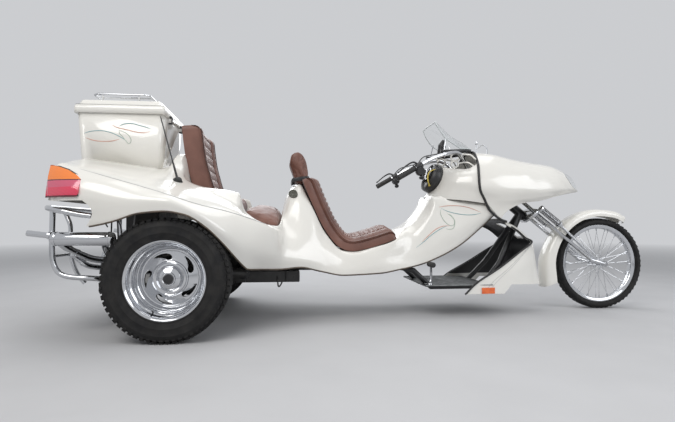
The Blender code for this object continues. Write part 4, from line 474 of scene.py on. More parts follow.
def lofted(guides, steps_along, steps_across):
    """Guide lines joined into a net: steady along each line, smooth across the lines."""
    share = np.linspace(0, 1, steps_along)
    rails = []
    for guide in guides:
        g = np.array(guide, float)
        run = run_along(g)
        run /= run[-1]
        rails.append(np.stack([steady(run, g[:, k], share) for k in range(3)], axis=1))
    rails = np.array(rails)
    return [faired(rails[:, i], steps_across) for i in range(steps_along)]


NOSE_LINES = (
    [(1.945, 0, 1.136), (2.05, 0, 1.122), (2.20, 0, 1.086), (2.36, 0, 1.058), (2.50, 0, 1.041),
     (2.635, 0, 1.004)],
    [(1.932, 0.11, 1.112), (2.05, 0.132, 1.101), (2.20, 0.145, 1.066), (2.36, 0.142, 1.038),
     (2.50, 0.125, 1.020), (2.600, 0.098, 0.986)],
    [(1.914, 0.215, 1.030), (2.05, 0.236, 1.014), (2.20, 0.238, 0.984), (2.36, 0.218, 0.960),
     (2.50, 0.188, 0.946), (2.606, 0.140, 0.936)],
    [(1.896, 0.284, 0.883), (2.05, 0.292, 0.872), (2.20, 0.283, 0.864), (2.36, 0.250, 0.860),
     (2.52, 0.205, 0.864), (2.655, 0.125, 0.882)],
    [(1.938, 0.262, 0.784), (2.06, 0.272, 0.780), (2.20, 0.262, 0.790), (2.36, 0.236, 0.810),
     (2.52, 0.180, 0.832), (2.715, 0.080, 0.862)],
    [(2.062, 0.236, 0.648), (2.11, 0.240, 0.704), (2.235, 0.228, 0.760), (2.36, 0.206, 0.776),
     (2.50, 0.165, 0.810), (2.742, 0.040, 0.852)],
)
CREASE_COLUMNS = (9, 18, 27)
CREASE_RISE = 0.0022
nose_net = both_sides(lofted(NOSE_LINES, 90, 14)) + SHIFT
middle = (nose_net.shape[1] - 1) // 2
for row in nose_net:
    share = np.clip((row[middle, 0] - REAR_AXLE - 2.0) / 0.25, 0, 1)
    for crease in CREASE_COLUMNS:
        for side in (-1, 1):
            row[middle + side * crease] += np.array([0, 0, CREASE_RISE]) * share
nose = net_piece("nose_moulding", nose_net)
turn_out(nose, (0, 0, 1))
thicken(nose, 0.006, inner=1)
dress(nose, (gelcoat, underside), "chassis", ["nose_cowl"], 26)

chin_net = []
for x, y, z in ((2.480, 0.160, 0.808), (2.56, 0.132, 0.824), (2.66, 0.084, 0.842), (2.745, 0.036, 0.854)):
    chin_net.append([(x + REAR_AXLE, y * t, z - 0.004 + 0.006 * t * t) for t in np.linspace(-1, 1, 25)])
chin = net_piece("nose_chin", chin_net)
turn_out(chin, (0, 0, -1))
thicken(chin, 0.004)
dress(chin, gelcoat, "chassis")


# The fairing round the instruments, behind the edging
# The same ivory moulding, open on top where the bars pass. Its rear face carries the dials.
COWL_LEVELS = (
    [(1.598, 0, 0.804), (1.622, 0.10, 0.802), (1.69, 0.185, 0.785), (1.81, 0.240, 0.772),
     (1.956, 0.256, 0.752)],
    [(1.645, 0, 0.862), (1.665, 0.12, 0.858), (1.735, 0.212, 0.850), (1.84, 0.258, 0.832),
     (1.920, 0.272, 0.812)],
    [(1.668, 0, 0.915), (1.688, 0.125, 0.912), (1.752, 0.222, 0.905), (1.840, 0.268, 0.893),
     (1.896, 0.284, 0.885)],
    [(1.692, 0, 0.970), (1.708, 0.115, 0.968), (1.765, 0.200, 0.962), (1.845, 0.245, 0.958),
     (1.901, 0.262, 0.960)],
    [(1.705, 0, 1.012), (1.722, 0.095, 1.010), (1.775, 0.160, 1.000), (1.850, 0.192, 0.995),
     (1.914, 0.215, 1.030)],
)
levels = both_sides([faired(level, 10) for level in COWL_LEVELS])
cowl_net = np.array([faired(levels[:, i], 10) for i in range(levels.shape[1])])
cowl = net_piece("dash_moulding", cowl_net + SHIFT)
turn_out(cowl, (-1, 0, 0.2))
thicken(cowl, 0.006, inner=1)


def dash_spot(across, up, out):
    """A place on the leaning instrument face, in the world."""
    low, high = Vector(COWL_LEVELS[1][0]), Vector(COWL_LEVELS[4][0])
    rise = (high - low).normalized()
    spot = (low + high) / 2 + Vector((REAR_AXLE, across, 0)) + rise * up
    return spot + Vector((-rise.z, 0, rise.x)) * out


def loft_of(name, loops, cap=True):
    """Closed loops of places laid over a grid primitive, one row to each, and sewn shut."""
    loops = [np.array([tuple(p) for p in loop]) for loop in loops]
    count = len(loops[0])
    bpy.ops.mesh.primitive_grid_add(x_subdivisions=count, y_subdivisions=len(loops) - 1)
    made = bpy.context.object
    made.name = made.data.name = name
    for row, loop in enumerate(loops):
        for i in range(count + 1):
            made.data.vertices[row * (count + 1) + i].co = loop[i % count]
    bpy.ops.object.mode_set(mode="EDIT")
    bpy.ops.mesh.select_all(action="SELECT")
    bpy.ops.mesh.remove_doubles(threshold=MERGE)
    if cap:
        bpy.ops.mesh.select_all(action="DESELECT")
        bpy.ops.mesh.select_mode(type="EDGE")
        bpy.ops.mesh.select_non_manifold(extend=False)
        bpy.ops.mesh.edge_face_add()
        bpy.ops.mesh.select_mode(type="VERT")
    bpy.ops.mesh.select_all(action="SELECT")
    bpy.ops.mesh.normals_make_consistent(inside=False)
    bpy.ops.mesh.select_all(action="DESELECT")
    bpy.ops.object.mode_set(mode="OBJECT")
    return made


def turns(count):
    """The angles of that many places, evenly round a circle."""
    return np.linspace(0, 2 * math.pi, count + 1)[:-1]


def oval(wide, high, out, across=0.0, up=0.0, count=48):
    """A closed oval on the instrument face, round a place on it."""
    return [dash_spot(across + wide * math.cos(t), up + high * math.sin(t), out) for t in turns(count)]


cut_out(cowl, loft_of("dial_hole", [oval(0.104, 0.061, -0.08), oval(0.104, 0.061, 0.05)]))
dress(cowl, (gelcoat, underside), "chassis", ["dash_cowl"], 30)


# Round bars, hoses and cables share one helper: a path swept by a round section
# The section twists as little as it can along the path, and its radius may change.
def swept(name, path, radius, sides=16, closed=False, cap=True):
    """A round bar along a path, whose radius may be one number or one for each place."""
    path = [Vector(p) for p in path]
    radii = [float(r) for r in radius] if hasattr(radius, "__len__") else [radius] * len(path)
    loops, side = [], None
    for i, spot in enumerate(path):
        after = path[(i + 1) % len(path)] if closed else path[min(i + 1, len(path) - 1)]
        before = path[i - 1] if closed else path[max(i - 1, 0)]
        heading = (after - before).normalized()
        side = heading.orthogonal() if side is None else side - heading * side.dot(heading)
        side.normalize()
        up = heading.cross(side)
        loops.append([
            spot + radii[i] * (math.cos(2 * math.pi * k / sides) * side
                               + math.sin(2 * math.pi * k / sides) * up)
            for k in range(sides)
        ])
    if not closed:
        return loft_of(name, loops, cap)
    first = loops[0]
    turn = min(range(sides), key=lambda k: (loops[-1][0] - first[k]).length)
    loops.append([first[(k + turn) % sides] for k in range(sides)])
    return loft_of(name, loops, False)


def joined(pieces, name):
    """Separate shells of one piece put together in one mesh."""
    bpy.ops.object.select_all(action="DESELECT")
    for piece in pieces:
        piece.select_set(True)
    bpy.context.view_layer.objects.active = pieces[0]
    bpy.ops.object.join()
    made = bpy.context.object
    made.name = made.data.name = name
    return made


rubber, shader = mottled("black_rubber", (0.022, 0.022, 0.023), 0.62, 30, (0.014, 0.014, 0.014),
                         (0.032, 0.031, 0.030))
bump_by(rubber, shader, wire_noise(rubber, 300), 0.0004, 0.5)

EDGING = ((2.106, -0.235, 0.632), (2.062, -0.238, 0.648), (2.018, -0.245, 0.677), (1.975, -0.252, 0.718),
          (1.938, -0.264, 0.784), (1.908, -0.278, 0.833), (1.896, -0.286, 0.883), (1.898, -0.272, 0.945),
          (1.913, -0.218, 1.030), (1.932, -0.11, 1.113), (1.945, 0.0, 1.137))
edging = swept("edging", placed(mirrored(faired(EDGING, 10))), 0.0085, 14)
dress(edging, rubber, "chassis", ["cowl_edging"], 60)


# The scoop ahead of the rider's feet: a roof, a front wall and two swept-back wings
# An ivory moulding with its own black lining. The down tubes rise through a slot in its roof.
SHIELD_LINES = (
    [(2.092, 0, 0.655), (2.092, 0.12, 0.655), (2.096, 0.195, 0.645), (2.102, 0.222, 0.632),
     (2.106, 0.238, 0.615)],
    [(2.20, 0, 0.612), (2.20, 0.11, 0.610), (2.195, 0.180, 0.600), (2.190, 0.205, 0.590),
     (2.185, 0.225, 0.574)],
    [(2.290, 0, 0.558), (2.285, 0.10, 0.556), (2.270, 0.165, 0.547), (2.258, 0.195, 0.538),
     (2.245, 0.220, 0.524)],
    [(2.345, 0, 0.490), (2.340, 0.10, 0.488), (2.322, 0.165, 0.486), (2.308, 0.195, 0.488),
     (2.290, 0.225, 0.492)],
    [(2.354, 0, 0.420), (2.348, 0.10, 0.420), (2.330, 0.180, 0.420), (2.270, 0.228, 0.424),
     (2.190, 0.256, 0.430)],
    [(2.362, 0, 0.335), (2.356, 0.10, 0.335), (2.335, 0.190, 0.335), (2.210, 0.258, 0.332),
     (2.030, 0.286, 0.325)],
    [(2.378, 0, 0.245), (2.370, 0.10, 0.245), (2.340, 0.200, 0.245), (2.140, 0.275, 0.240),
     (1.875, 0.302, 0.235)],
    [(2.400, 0, 0.150), (2.390, 0.10, 0.150), (2.355, 0.205, 0.150), (2.090, 0.282, 0.152),
     (1.785, 0.308, 0.156)],
)
rows = both_sides([faired(row, 10) for row in SHIELD_LINES])
shield_net = np.array([faired(rows[:, i], 9) for i in range(rows.shape[1])]).transpose(1, 0, 2) + SHIFT
slot_shape = [(2.15, -0.050), (2.18, -0.075), (2.29, -0.075), (2.32, -0.050)]
slot_shape += [(x, -y) for x, y in reversed(slot_shape)]
slot_shape = [(x + REAR_AXLE, y) for x, y in slot_shape]


def shifted(net, distance):
    """The same net moved along its own normals."""
    along = np.gradient(net, axis=0)
    across = np.gradient(net, axis=1)
    normal = np.cross(along, across)
    normal /= np.linalg.norm(normal, axis=2)[..., None] + 1e-12
    if normal[0, net.shape[1] // 2, 2] + normal[-1, net.shape[1] // 2, 0] < 0:
        normal = -normal
    return net + normal * distance


shield = net_piece("scoop", shield_net)
turn_out(shield, (1, 0, 0.3))
thicken(shield, 0.008, inner=0)
step = [(2.066, 0.10), (2.066, 0.157), (2.118, 0.214), (2.60, 0.196), (2.60, 0.10)]
cut_out(shield, outline_cutter("step", [(x + REAR_AXLE, z) for x, z in step], -0.5, 0.5))
cut_out(shield, outline_cutter("head_slot", slot_shape, 0.45, 0.75, "Z"))
dress(shield, gelcoat, "chassis", ["leg_shield"], 30)

satin, shader = mottled("satin_black", (0.020, 0.020, 0.022), 0.38, 12, (0.014, 0.014, 0.015),
                        (0.028, 0.028, 0.030))
rough_by(satin, shader, wire_noise(satin, 40), 0.30, 0.52)
bump_by(satin, shader, wire_noise(satin, 400), 0.0002, 0.4)

liner = net_piece("scoop_lining", shifted(shield_net, -0.0083)[:-9])
turn_out(liner, (1, 0, 0.3))
thicken(liner, 0.003)
cut_out(liner, outline_cutter("head_slot", slot_shape, 0.45, 0.75, "Z"))
dress(liner, satin, "chassis", ["shield_liner"], 30)

# A rubber trim is pressed over the wings' slanting edge and along the scoop's roof
for side in (1, -1):
    edge = shield_net[:66, -1 if side > 0 else 0] + np.array([0, side * 0.001, 0])
    trim = swept("wing_trim", edge[4:] + np.array([-0.001, 0, 0]), 0.0062, 10)
    dress(trim, rubber, "chassis", angle=60)


# The front fender: a deep ivory moulding that hugs the tyre and flares away at its tail
# It is bolted to the fork's legs, and its tip is rounded.
FRONT_HUB = np.array([2.914 + REAR_AXLE, 0, 0.330])


def round_hub(hub, radius, out, angle):
    """A place at a radius and an angle round a wheel's centre, out along its axle."""
    return np.array(hub) + np.array([radius * math.cos(angle), out, radius * math.sin(angle)])


fender_lines = []
sections = [(-57, 0.401, 0.020), (-58.5, 0.401, 0.048), (-62, 0.400, 0.060), (-75, 0.400, 0.064),
            (-100, 0.398, 0.067), (-125, 0.405, 0.069), (-150, 0.414, 0.070), (-175, 0.438, 0.074),
            (-201, 0.472, 0.074)]
for turn, crest, half in sections:
    lip = 0.346 + 0.45 * (crest - 0.398)
    arc = []
    for y_share, r_share in ((0, 1), (0.45, 0.965), (0.8, 0.82), (0.97, 0.50), (1.0, 0.0)):
        arc.append(round_hub(FRONT_HUB, lip + (crest - lip) * r_share, half * y_share, math.radians(-turn)))
    fender_lines.append(faired(arc, 8))
fender_lines = np.array(fender_lines)
fender_net = np.array([faired(fender_lines[:, i], 8) for i in range(fender_lines.shape[1])])
fender = net_piece("front_mudguard", both_sides(fender_net.transpose(1, 0, 2)))
turn_out(fender, (0, 0, 1))
thicken(fender, 0.005, inner=1)
dress(fender, (gelcoat, underside), "steering", ["front_fender"], 32)


# Seats: foam pads under stitched brown leather, laid in the body's two tubs
# Each has a plain bolster to each side, a middle of cross ribs, and piping along its seams.
leather, shader = finish_of("brown_leather", (0.150, 0.062, 0.044), 0.5)
tint_by(leather, shader, wire_noise(leather, 7, 6), (0.112, 0.045, 0.032), (0.195, 0.088, 0.064))
rough_by(leather, shader, wire_noise(leather, 24, 4), 0.38, 0.58)
bump_by(leather, shader, wire_noise(leather, 420, 3), 0.0005, 0.5)
shader.inputs["Sheen Weight"].default_value = 0.05
piping, shader = finish_of("seat_piping", (0.055, 0.026, 0.020), 0.5)
bump_by(piping, shader, wire_noise(piping, 500), 0.0002, 0.4)


def under_volume():
    """Everything below the body's own outer face, to fit a piece to it."""
    loops = []
    for row in body_net[6::3]:
        low = row[::-1].copy()
        low[:, 2] = 0.20
        loops.append(np.concatenate([row, low]))
    return loft_of("under_body", loops)


def run_of(path, steps):
    """A smooth line in the middle plane, evenly spaced, with its outward directions."""
    line = faired([(x + REAR_AXLE, 0, z) for x, z in path], 24)
    run = run_along(line)
    even = np.linspace(0, run[-1], steps)
    line = np.stack([np.interp(even, run, line[:, k]) for k in range(3)], axis=1)
    heading = np.gradient(line, axis=0)
    heading /= np.linalg.norm(heading, axis=1)[:, None]
    facing = np.stack([-heading[:, 2], 0 * even, heading[:, 0]], axis=1)
    facing[facing[:, 0] + facing[:, 2] < 0] *= -1
    return line, facing, even


def seat_height(u, side, crown, s, length, pitch, seam, first_rib, last_rib):
    """The leather's height over the tub at a share u of the half width and a run s."""
    base = np.interp(u, (0, 0.3, 0.62, 0.9, 1.0), (1.0, 0.965, 0.62, 0.10, -0.30))
    height = side + (crown - side) * base
    height += 0.010 * np.exp(-(((u - 0.5 * (seam + 1.0)) / 0.13) ** 2))
    height -= 0.011 * np.exp(-(((u - seam) / 0.022) ** 2))
    if u < seam and first_rib < s < last_rib:
        fade = min(1.0, (seam - u) / 0.05)
        height += fade * 0.009 * (math.sqrt(abs(math.sin(math.pi * (s - first_rib) / pitch))) - 0.8)
    ease = min(1.0, min(s, length - s) / 0.045)
    return height * (0.45 + 0.55 * math.sqrt(max(0.0, 1 - (1 - ease) ** 2)))


def seat_pad(name, path, half, side, crown, pitch, seam, ribs):
    """A seat's leather, lofted along its path, and the cords laid in its seams."""
    line, facing, run = run_of(path, int(sum(math.dist(a, b) for a, b in zip(path, path[1:])) / SEAT_STEP))
    length = run[-1]
    loops = []
    for spot, out, s in zip(line, facing, run):
        ease = min(1.0, min(s, length - s) / 0.03)
        width = half * (0.94 + 0.06 * math.sqrt(1 - (1 - ease) ** 2))
        loop = [spot + np.array([0, -width, 0]), spot + np.array([0, -width, 0]) + out * 0.35 * side]
        for share in np.linspace(-1, 1, 101):
            u = abs(share)
            bulge = np.sign(share) * width * (1 - 0.05 * max(0.0, (u - 0.93) / 0.07) ** 2)
            y = bulge if u >= 0.93 else share * width
            high = seat_height(u, side, crown, s, length, pitch, seam, *ribs)
            loop.append(spot + np.array([0, y, 0]) + out * high)
        loop += [spot + np.array([0, width, 0]) + out * 0.35 * side, spot + np.array([0, width, 0])]
        loops.append(loop)
    pad = loft_of(name, loops)
    cords = []
    for share in (-seam, seam, -0.955, 0.955):
        places = []
        for spot, out, s in zip(line[5:-5:3], facing[5:-5:3], run[5:-5:3]):
            high = seat_height(abs(share), side, crown, s, length, pitch, seam, *ribs)
            high += 0.006 if abs(share) < 0.9 else 0.002
            places.append(spot + np.array([0, share * half, 0]) + out * high)
        cords.append(swept("cord", places, 0.0036, 8))
    return pad, joined(cords, name + "_piping")


SEAT_STEP = 0.0055
DRIVER_PATH = ((0.722, 0.905), (0.758, 0.815), (0.800, 0.715), (0.850, 0.610), (0.905, 0.525),
               (0.965, 0.465), (1.040, 0.440), (1.130, 0.452), (1.240, 0.483), (1.345, 0.520))
PASSENGER_PATH = ((-0.035, 1.235), (-0.022, 1.12), (-0.005, 1.01), (0.018, 0.92), (0.045, 0.83),
                  (0.085, 0.745), (0.150, 0.700), (0.240, 0.688), (0.330, 0.682))
for label, path, half, side, crown, pitch, seam, ribs in (
    ("driver_seat", DRIVER_PATH, 0.25, 0.062, 0.112, 0.036, 0.66, (0.045, 0.835)),
    ("passenger_seat", PASSENGER_PATH, 0.285, 0.112, 0.104, 0.060, 0.60, (0.05, 0.66)),
):
    pad, cords = seat_pad(label + "_leather", path, half, side, crown, pitch, seam, ribs)
    cut_out(pad, under_volume())
    dress(pad, leather, "chassis", [label], 50)
    dress(cords, piping, "chassis", angle=60)


# The headrest roll on the hump, and the padded hump behind the driver's back
# Both are soft: a closed skin blown up a little by pressure, so that it puckers and sags.
def soft_copy(word, size, pressure, cap):
    """A remeshed copy of a node, puffed as cloth under pressure, with its move kept small."""
    source = node[word]
    pad = source.copy()
    pad.data = source.data.copy()
    bpy.context.scene.collection.objects.link(pad)
    pad.name = pad.data.name = word + "_soft"
    pad.data.transform(source.matrix_world)
    pad.parent = None
    pad.matrix_world = Matrix()
    weld(pad, 0.0001)
    step = pad.modifiers.new("skin", "REMESH")
    step.mode = "VOXEL"
    step.voxel_size = size
    apply_all(pad)
    step = pad.modifiers.new("ease", "SMOOTH")
    step.factor = 0.5
    step.iterations = 6
    apply_all(pad)
    before = np.empty(len(pad.data.vertices) * 3)
    pad.data.vertices.foreach_get("co", before)
    before = before.reshape(-1, 3)
    cloth = pad.modifiers.new("cloth", "CLOTH")
    cloth.settings.quality = 4
    cloth.settings.use_pressure = True
    cloth.settings.uniform_pressure_force = pressure
    cloth.settings.tension_stiffness = 12
    cloth.settings.compression_stiffness = 4
    cloth.settings.bending_stiffness = 0.4
    cloth.settings.effector_weights.gravity = 0
    for shot in range(1, 17):
        bpy.context.scene.frame_set(shot)
    apply_all(pad)
    bpy.context.scene.frame_set(1)
    after = np.empty(len(pad.data.vertices) * 3)
    pad.data.vertices.foreach_get("co", after)
    move = after.reshape(-1, 3) - before
    far = np.linalg.norm(move, axis=1)
    move *= np.minimum(1, cap / np.maximum(far, 1e-9))[:, None]
    pad.data.vertices.foreach_set("co", (before + move).reshape(-1))
    pad.data.update()
    return pad


for word, cap in (("headrest", 0.008), ("saddle_pad", 0.007)):
    pad = soft_copy(word, 0.006, 4, cap)
    step = pad.modifiers.new("fine", "SUBSURF")
    step.levels = step.render_levels = 1
    apply_all(pad)
    dress(pad, leather, "chassis", [word], 60)
band = []
for x, y, z in ((0.700, -0.137, 0.918), (0.664, -0.126, 0.912), (0.655, -0.10, 0.905),
                (0.655, 0.10, 0.905), (0.664, 0.126, 0.912),
                (0.700, 0.137, 0.918), (0.742, 0.128, 0.925), (0.768, 0.10, 0.925), (0.770, -0.10, 0.925),
                (0.742, -0.128, 0.925)):
    band.append((x + REAR_AXLE, y, z))
band = faired(band + band[:1], 5)[:-1]
middle = band.mean(axis=0)
loops = []
half_wide = np.array([0, 0, 0.013])
for spot in band:
    out = (spot - middle) * np.array([1, 1, 0])
    out /= np.linalg.norm(out)
    loops.append([spot + out * 0.003 + half_wide, spot + out * 0.005, spot + out * 0.003 - half_wide,
                  spot - out * 0.003 - half_wide, spot - out * 0.003 + half_wide])
loops.append(loops[0])
strap = loft_of("headrest_strap", loops, False)
dress(strap, satin, "chassis", angle=40)


# Rear wheels: wide low car tyres on deep-dished chrome rims with five curved slots
# The tyres have plain sidewalls with fine rings, and blocks cut round their shoulders.
tyre, shader = finish_of("tyre_rubber", (0.015, 0.015, 0.016), 0.82)
shader.inputs["Specular IOR Level"].default_value = 0.28
tint_by(tyre, shader, wire_noise(tyre, 22, 6), (0.010, 0.010, 0.011), (0.024, 0.023, 0.022))
bump_by(tyre, shader, wire_noise(tyre, 380, 3), 0.0005, 0.5)
rough_by(tyre, shader, wire_noise(tyre, 9), 0.66, 0.88)

chrome, shader = finish_of("chrome", (0.62, 0.63, 0.65), 0.07, 1.0)
rough_by(chrome, shader, wire_noise(chrome, 9, 5), 0.045, 0.13)
bump_by(chrome, shader, wire_noise(chrome, 60, 2), 0.0002, 0.15)


def both_faces(half):
    """A profile of radius and offset, carried on over the middle to the other face."""
    return half + [(radius, -out) for radius, out in reversed(half)]


def spun(name, profile, centre, segments=96, axis="Y"):
    """A closed profile of radius and offset turned about a line through a centre."""
    bpy.ops.mesh.primitive_circle_add(vertices=len(profile), radius=1)
    made = bpy.context.object
    made.name = made.data.name = name
    for point, (radius, out) in zip(made.data.vertices, profile):
        point.co = (0, out, radius) if axis == "Y" else (out, 0, radius)
    bpy.ops.object.mode_set(mode="EDIT")
    bpy.ops.mesh.select_all(action="SELECT")
    bpy.ops.mesh.spin(
        steps=segments, angle=2 * math.pi, center=(0, 0, 0), axis=(0, 1, 0) if axis == "Y" else (1, 0, 0)
    )
    bpy.ops.mesh.select_all(action="SELECT")
    bpy.ops.mesh.remove_doubles(threshold=0.00001)
    bpy.ops.mesh.select_all(action="SELECT")
    bpy.ops.mesh.normals_make_consistent(inside=False)
    bpy.ops.mesh.select_all(action="DESELECT")
    bpy.ops.object.mode_set(mode="OBJECT")
    made.data.transform(Matrix.Translation(Vector(centre)))
    return made


def tread_blocks(name, centre, radius, count, spots, lean):
    """Small raised blocks, copied round a tyre: each spot is width place, width, length and drop."""
    pieces = []
    for row, (out, width, length, drop) in enumerate(spots):
        hand = 1 if out > 0 else -1
        for i in range(count):
            angle = 2 * math.pi * (i + 0.5 * (row % 2)) / count
            bpy.ops.mesh.primitive_cube_add(size=1)
            block = bpy.context.object
            block.data.transform(
                Matrix.Translation(Vector(centre)) @ Matrix.Rotation(angle, 4, "Y")
                @ Matrix.Translation((0, out, radius - drop)) @ Matrix.Rotation(lean * hand, 4, "Z")
                @ Matrix.Diagonal((length, width, 0.011, 1))
            )
            pieces.append(block)
    return joined(pieces, name)


SIDES = ((-1, "right"), (1, "left"))
REAR_TRACK_HALF, REAR_RADIUS = 0.7325, 0.325
REAR_BLOCKS, FRONT_BLOCKS, SLOTS, SPOKES_PER_SET = 60, 56, 5, 10
for side, word in SIDES:
    centre = (REAR_AXLE, side * REAR_TRACK_HALF, REAR_RADIUS)
    half = [
        (0.196, 0.0846), (0.200, 0.096), (0.2065, 0.1020), (0.2110, 0.1035), (0.2125, 0.1085),
        (0.2150, 0.1085),
        (0.2165, 0.1070), (0.230, 0.1130), (0.2420, 0.1163), (0.2440, 0.1176), (0.2470, 0.1176),
        (0.2490, 0.1168), (0.262, 0.1168), (0.278, 0.1145), (0.2805, 0.1155), (0.2830, 0.1145),
        (0.290, 0.1115), (0.300, 0.1050), (0.307, 0.0985), (0.312, 0.090), (0.3150, 0.080), (0.3165, 0.072),
        (0.3165, 0.069), (0.3190, 0.066), (0.3245, 0.0655), (0.3248, 0.044), (0.3170, 0.0435),
        (0.3170, 0.0375),
        (0.3249, 0.037), (0.3250, 0.016), (0.3170, 0.0155), (0.3170, 0.0095), (0.3250, 0.009),
    ]
    casing = spun("rear_casing_" + word, both_faces(half), centre, 112)
    blocks = tread_blocks("blocks", centre, 0.3215, REAR_BLOCKS,
                          [(0.0835, 0.024, 0.023, 0.0035), (-0.0835, 0.024, 0.023, 0.0035)], 0.12)
    lugs = tread_blocks("lugs", centre, 0.3065, REAR_BLOCKS,
                        [(0.0985, 0.013, 0.018, 0.0035), (-0.0985, 0.013, 0.018, 0.0035)], 0.05)
    whole = joined([casing, blocks, lugs], "rear_rubber_" + word)
    dress(whole, tyre, "rear_wheel_" + word, ["rear_tyre_" + word], 30)

    shape = [
        (0.0005, 0.024), (0.020, 0.0235), (0.027, 0.021), (0.030, 0.0245), (0.035, 0.0235), (0.037, 0.016),
        (0.050, 0.0125), (0.060, 0.0065), (0.064, -0.002), (0.066, -0.016), (0.072, -0.020), (0.082, -0.0205),
        (0.088, -0.0175), (0.093, -0.0195), (0.096, -0.027), (0.120, -0.0335), (0.146, -0.0385),
        (0.1500, -0.0420), (0.1560, -0.0405), (0.1590, -0.0300), (0.1620, -0.0270), (0.1655, -0.0150),
        (0.1690, -0.0120), (0.1720, 0.0040), (0.1750, 0.0075), (0.1765, 0.0480), (0.1800, 0.0530),
        (0.1860, 0.0580), (0.1885, 0.0660), (0.1900, 0.0880), (0.1950, 0.0975), (0.2030, 0.1030),
        (0.2075, 0.1035), (0.2085, 0.1010), (0.2080, 0.0985), (0.1960, 0.0890), (0.1955, -0.0885),
        (0.2080, -0.0985), (0.2080, -0.1045), (0.1860, -0.0925), (0.1760, -0.0550), (0.1500, -0.0580),
        (0.0700, -0.0500), (0.0660, -0.0400), (0.0005, -0.0400),
    ]
    rim = spun("rear_dish_" + word, [(r, side * y) for r, y in shape], centre, 112)
    for i in range(SLOTS):
        start = math.radians(131 - 360 / SLOTS * i)
        fin = [(0, 0.1395), (-9, 0.1400), (-20, 0.1385), (-31, 0.1350), (-39, 0.1285), (-44, 0.1190),
               (-44.5, 0.1080), (-41, 0.1005), (-35, 0.0985), (-30, 0.1020), (-26, 0.1085), (-20, 0.1160),
               (-12, 0.1245), (-5, 0.1320)]
        outline = []
        for turn, radius in fin:
            angle = start + math.radians(turn)
            outline.append((centre[0] + radius * math.cos(angle) * (1 if side < 0 else -1),
                            centre[2] + radius * math.sin(angle)))
        tool = outline_cutter("fin", outline, centre[1] - 0.09, centre[1] + 0.09)
        cut_out(rim, tool)
    ease_edges(rim, 0.0012, 2, 55)
    apply_all(rim)
    dress(rim, (chrome, satin), "rear_wheel_" + word, ["rear_rim_" + word], 28)
    # The dish's inboard faces take the satin black: painted shade for the dark inside of the wheel behind the slots.
    for face in rim.data.polygons:
        face.material_index = int((face.center.y - centre[1]) * side < -0.0425)

    cap = spun("hub_cap_" + word, [(r, side * y) for r, y in (
        (0.0005, 0.0262), (0.0150, 0.0262), (0.0255, 0.0245), (0.0262, 0.0225),
        (0.0005, 0.0222))], centre, 48)
    dress(cap, satin, "rear_wheel_" + word, angle=40)
    angle = math.radians(-112)
    base = Vector(round_hub(centre, 0.181, side * 0.052, angle))
    tip = Vector(round_hub(centre, 0.166, side * 0.083, angle))
    valve = swept("valve_" + word, [base.lerp(tip, share) for share in (0, 0.7, 0.71, 1)],
                  [0.0042, 0.0042, 0.003, 0.003], 10)
    dress(valve, rubber, "rear_wheel_" + word, angle=40)


# Front wheel: a narrow 21 inch tyre on a chrome rim laced with forty thin spokes
# The spokes leave two hub flanges, cross each other, and end in nipples at the rim.
half = [(0.268, 0.0205), (0.2825, 0.0225)] + [
    (0.3030 + 0.0265 * math.sin(t), 0.0470 * math.cos(t))
    for t in np.radians(np.linspace(-24, 76, 13))
]
half += [(0.3275, 0.0125), (0.3300, 0.0085), (0.3300, 0.0040), (0.3275, 0.0015)]
casing = spun("front_casing", both_faces(half), FRONT_HUB, 128)
blocks = tread_blocks("blocks", FRONT_HUB, 0.3245, FRONT_BLOCKS,
                      [(0.0225, 0.011, 0.022, 0.0018), (-0.0225, 0.011, 0.022, 0.0018)], 0.35)
dress(joined([casing, blocks], "front_rubber"), tyre, "front_wheel", ["front_tyre"], 30)

shape = [(0.2570, 0.0), (0.2575, 0.0120), (0.2610, 0.0190), (0.2650, 0.0215), (0.2740, 0.0225),
         (0.2790, 0.0245),
         (0.2812, 0.0262), (0.2812, 0.0280), (0.2770, 0.0285), (0.2720, 0.0262), (0.2640, 0.0250),
         (0.2580, 0.0222), (0.2545, 0.0150), (0.2535, 0.0)]
rim = spun("front_hoop", shape + [(r, -y) for r, y in reversed(shape[1:-1])], FRONT_HUB, 128)
hub_shape = [(0.0098, 0.046), (0.018, 0.046), (0.0185, 0.040), (0.0295, 0.0390), (0.0300, 0.0345),
             (0.0190, 0.0300),
             (0.0165, 0.0180), (0.0160, 0.0)]
hub_shape += [(r, -y) for r, y in reversed(hub_shape[:-1])]
hub = spun("front_barrel", hub_shape, FRONT_HUB, 48)
wires = []
for flange in (-1, 1):
    for lean in (-1, 1):
        for i in range(SPOKES_PER_SET):
            angle = 2 * math.pi * (i + 0.25 * (lean + 1) + 0.25 * (flange + 1)) / SPOKES_PER_SET
            start = round_hub(FRONT_HUB, 0.0245, flange * (0.0368 + 0.0024 * lean), angle)
            end = round_hub(FRONT_HUB, 0.2545, flange * 0.006, angle + lean * math.radians(38))
            near = end + (start - end) * 0.075
            wire = [start, near, near * 0.99 + end * 0.01, end]
            wires.append(swept("spoke", wire, [0.0015, 0.0015, 0.0030, 0.0030], 8))
rim = joined([rim, hub] + wires, "front_laced_wheel")
dress(rim, chrome, "front_wheel", ["front_rim"], 40)


# Painted lines: thin two-colour scrolls laid by hand on the gelcoat, the same on both sides
# Each is drawn as places along the machine and up, and is pressed onto the side it belongs to.
coral, _ = mottled("coral_line", (0.62, 0.30, 0.23), 0.3, 40, (0.58, 0.27, 0.20), (0.68, 0.38, 0.30))
teal, _ = mottled("teal_line", (0.22, 0.40, 0.42), 0.3, 40, (0.19, 0.36, 0.39), (0.30, 0.47, 0.48))
sage, _ = mottled("sage_line", (0.42, 0.50, 0.42), 0.3, 40, (0.38, 0.46, 0.39), (0.50, 0.56, 0.48))
# The grey of the crease lines below is painted shade, where creases, steps and turned edges fall away from the
# light.
crease_shade_grey, _ = mottled("crease_shade_grey", (0.50, 0.50, 0.49), 0.3, 40, (0.46, 0.46, 0.45), (0.55, 0.55, 0.54))

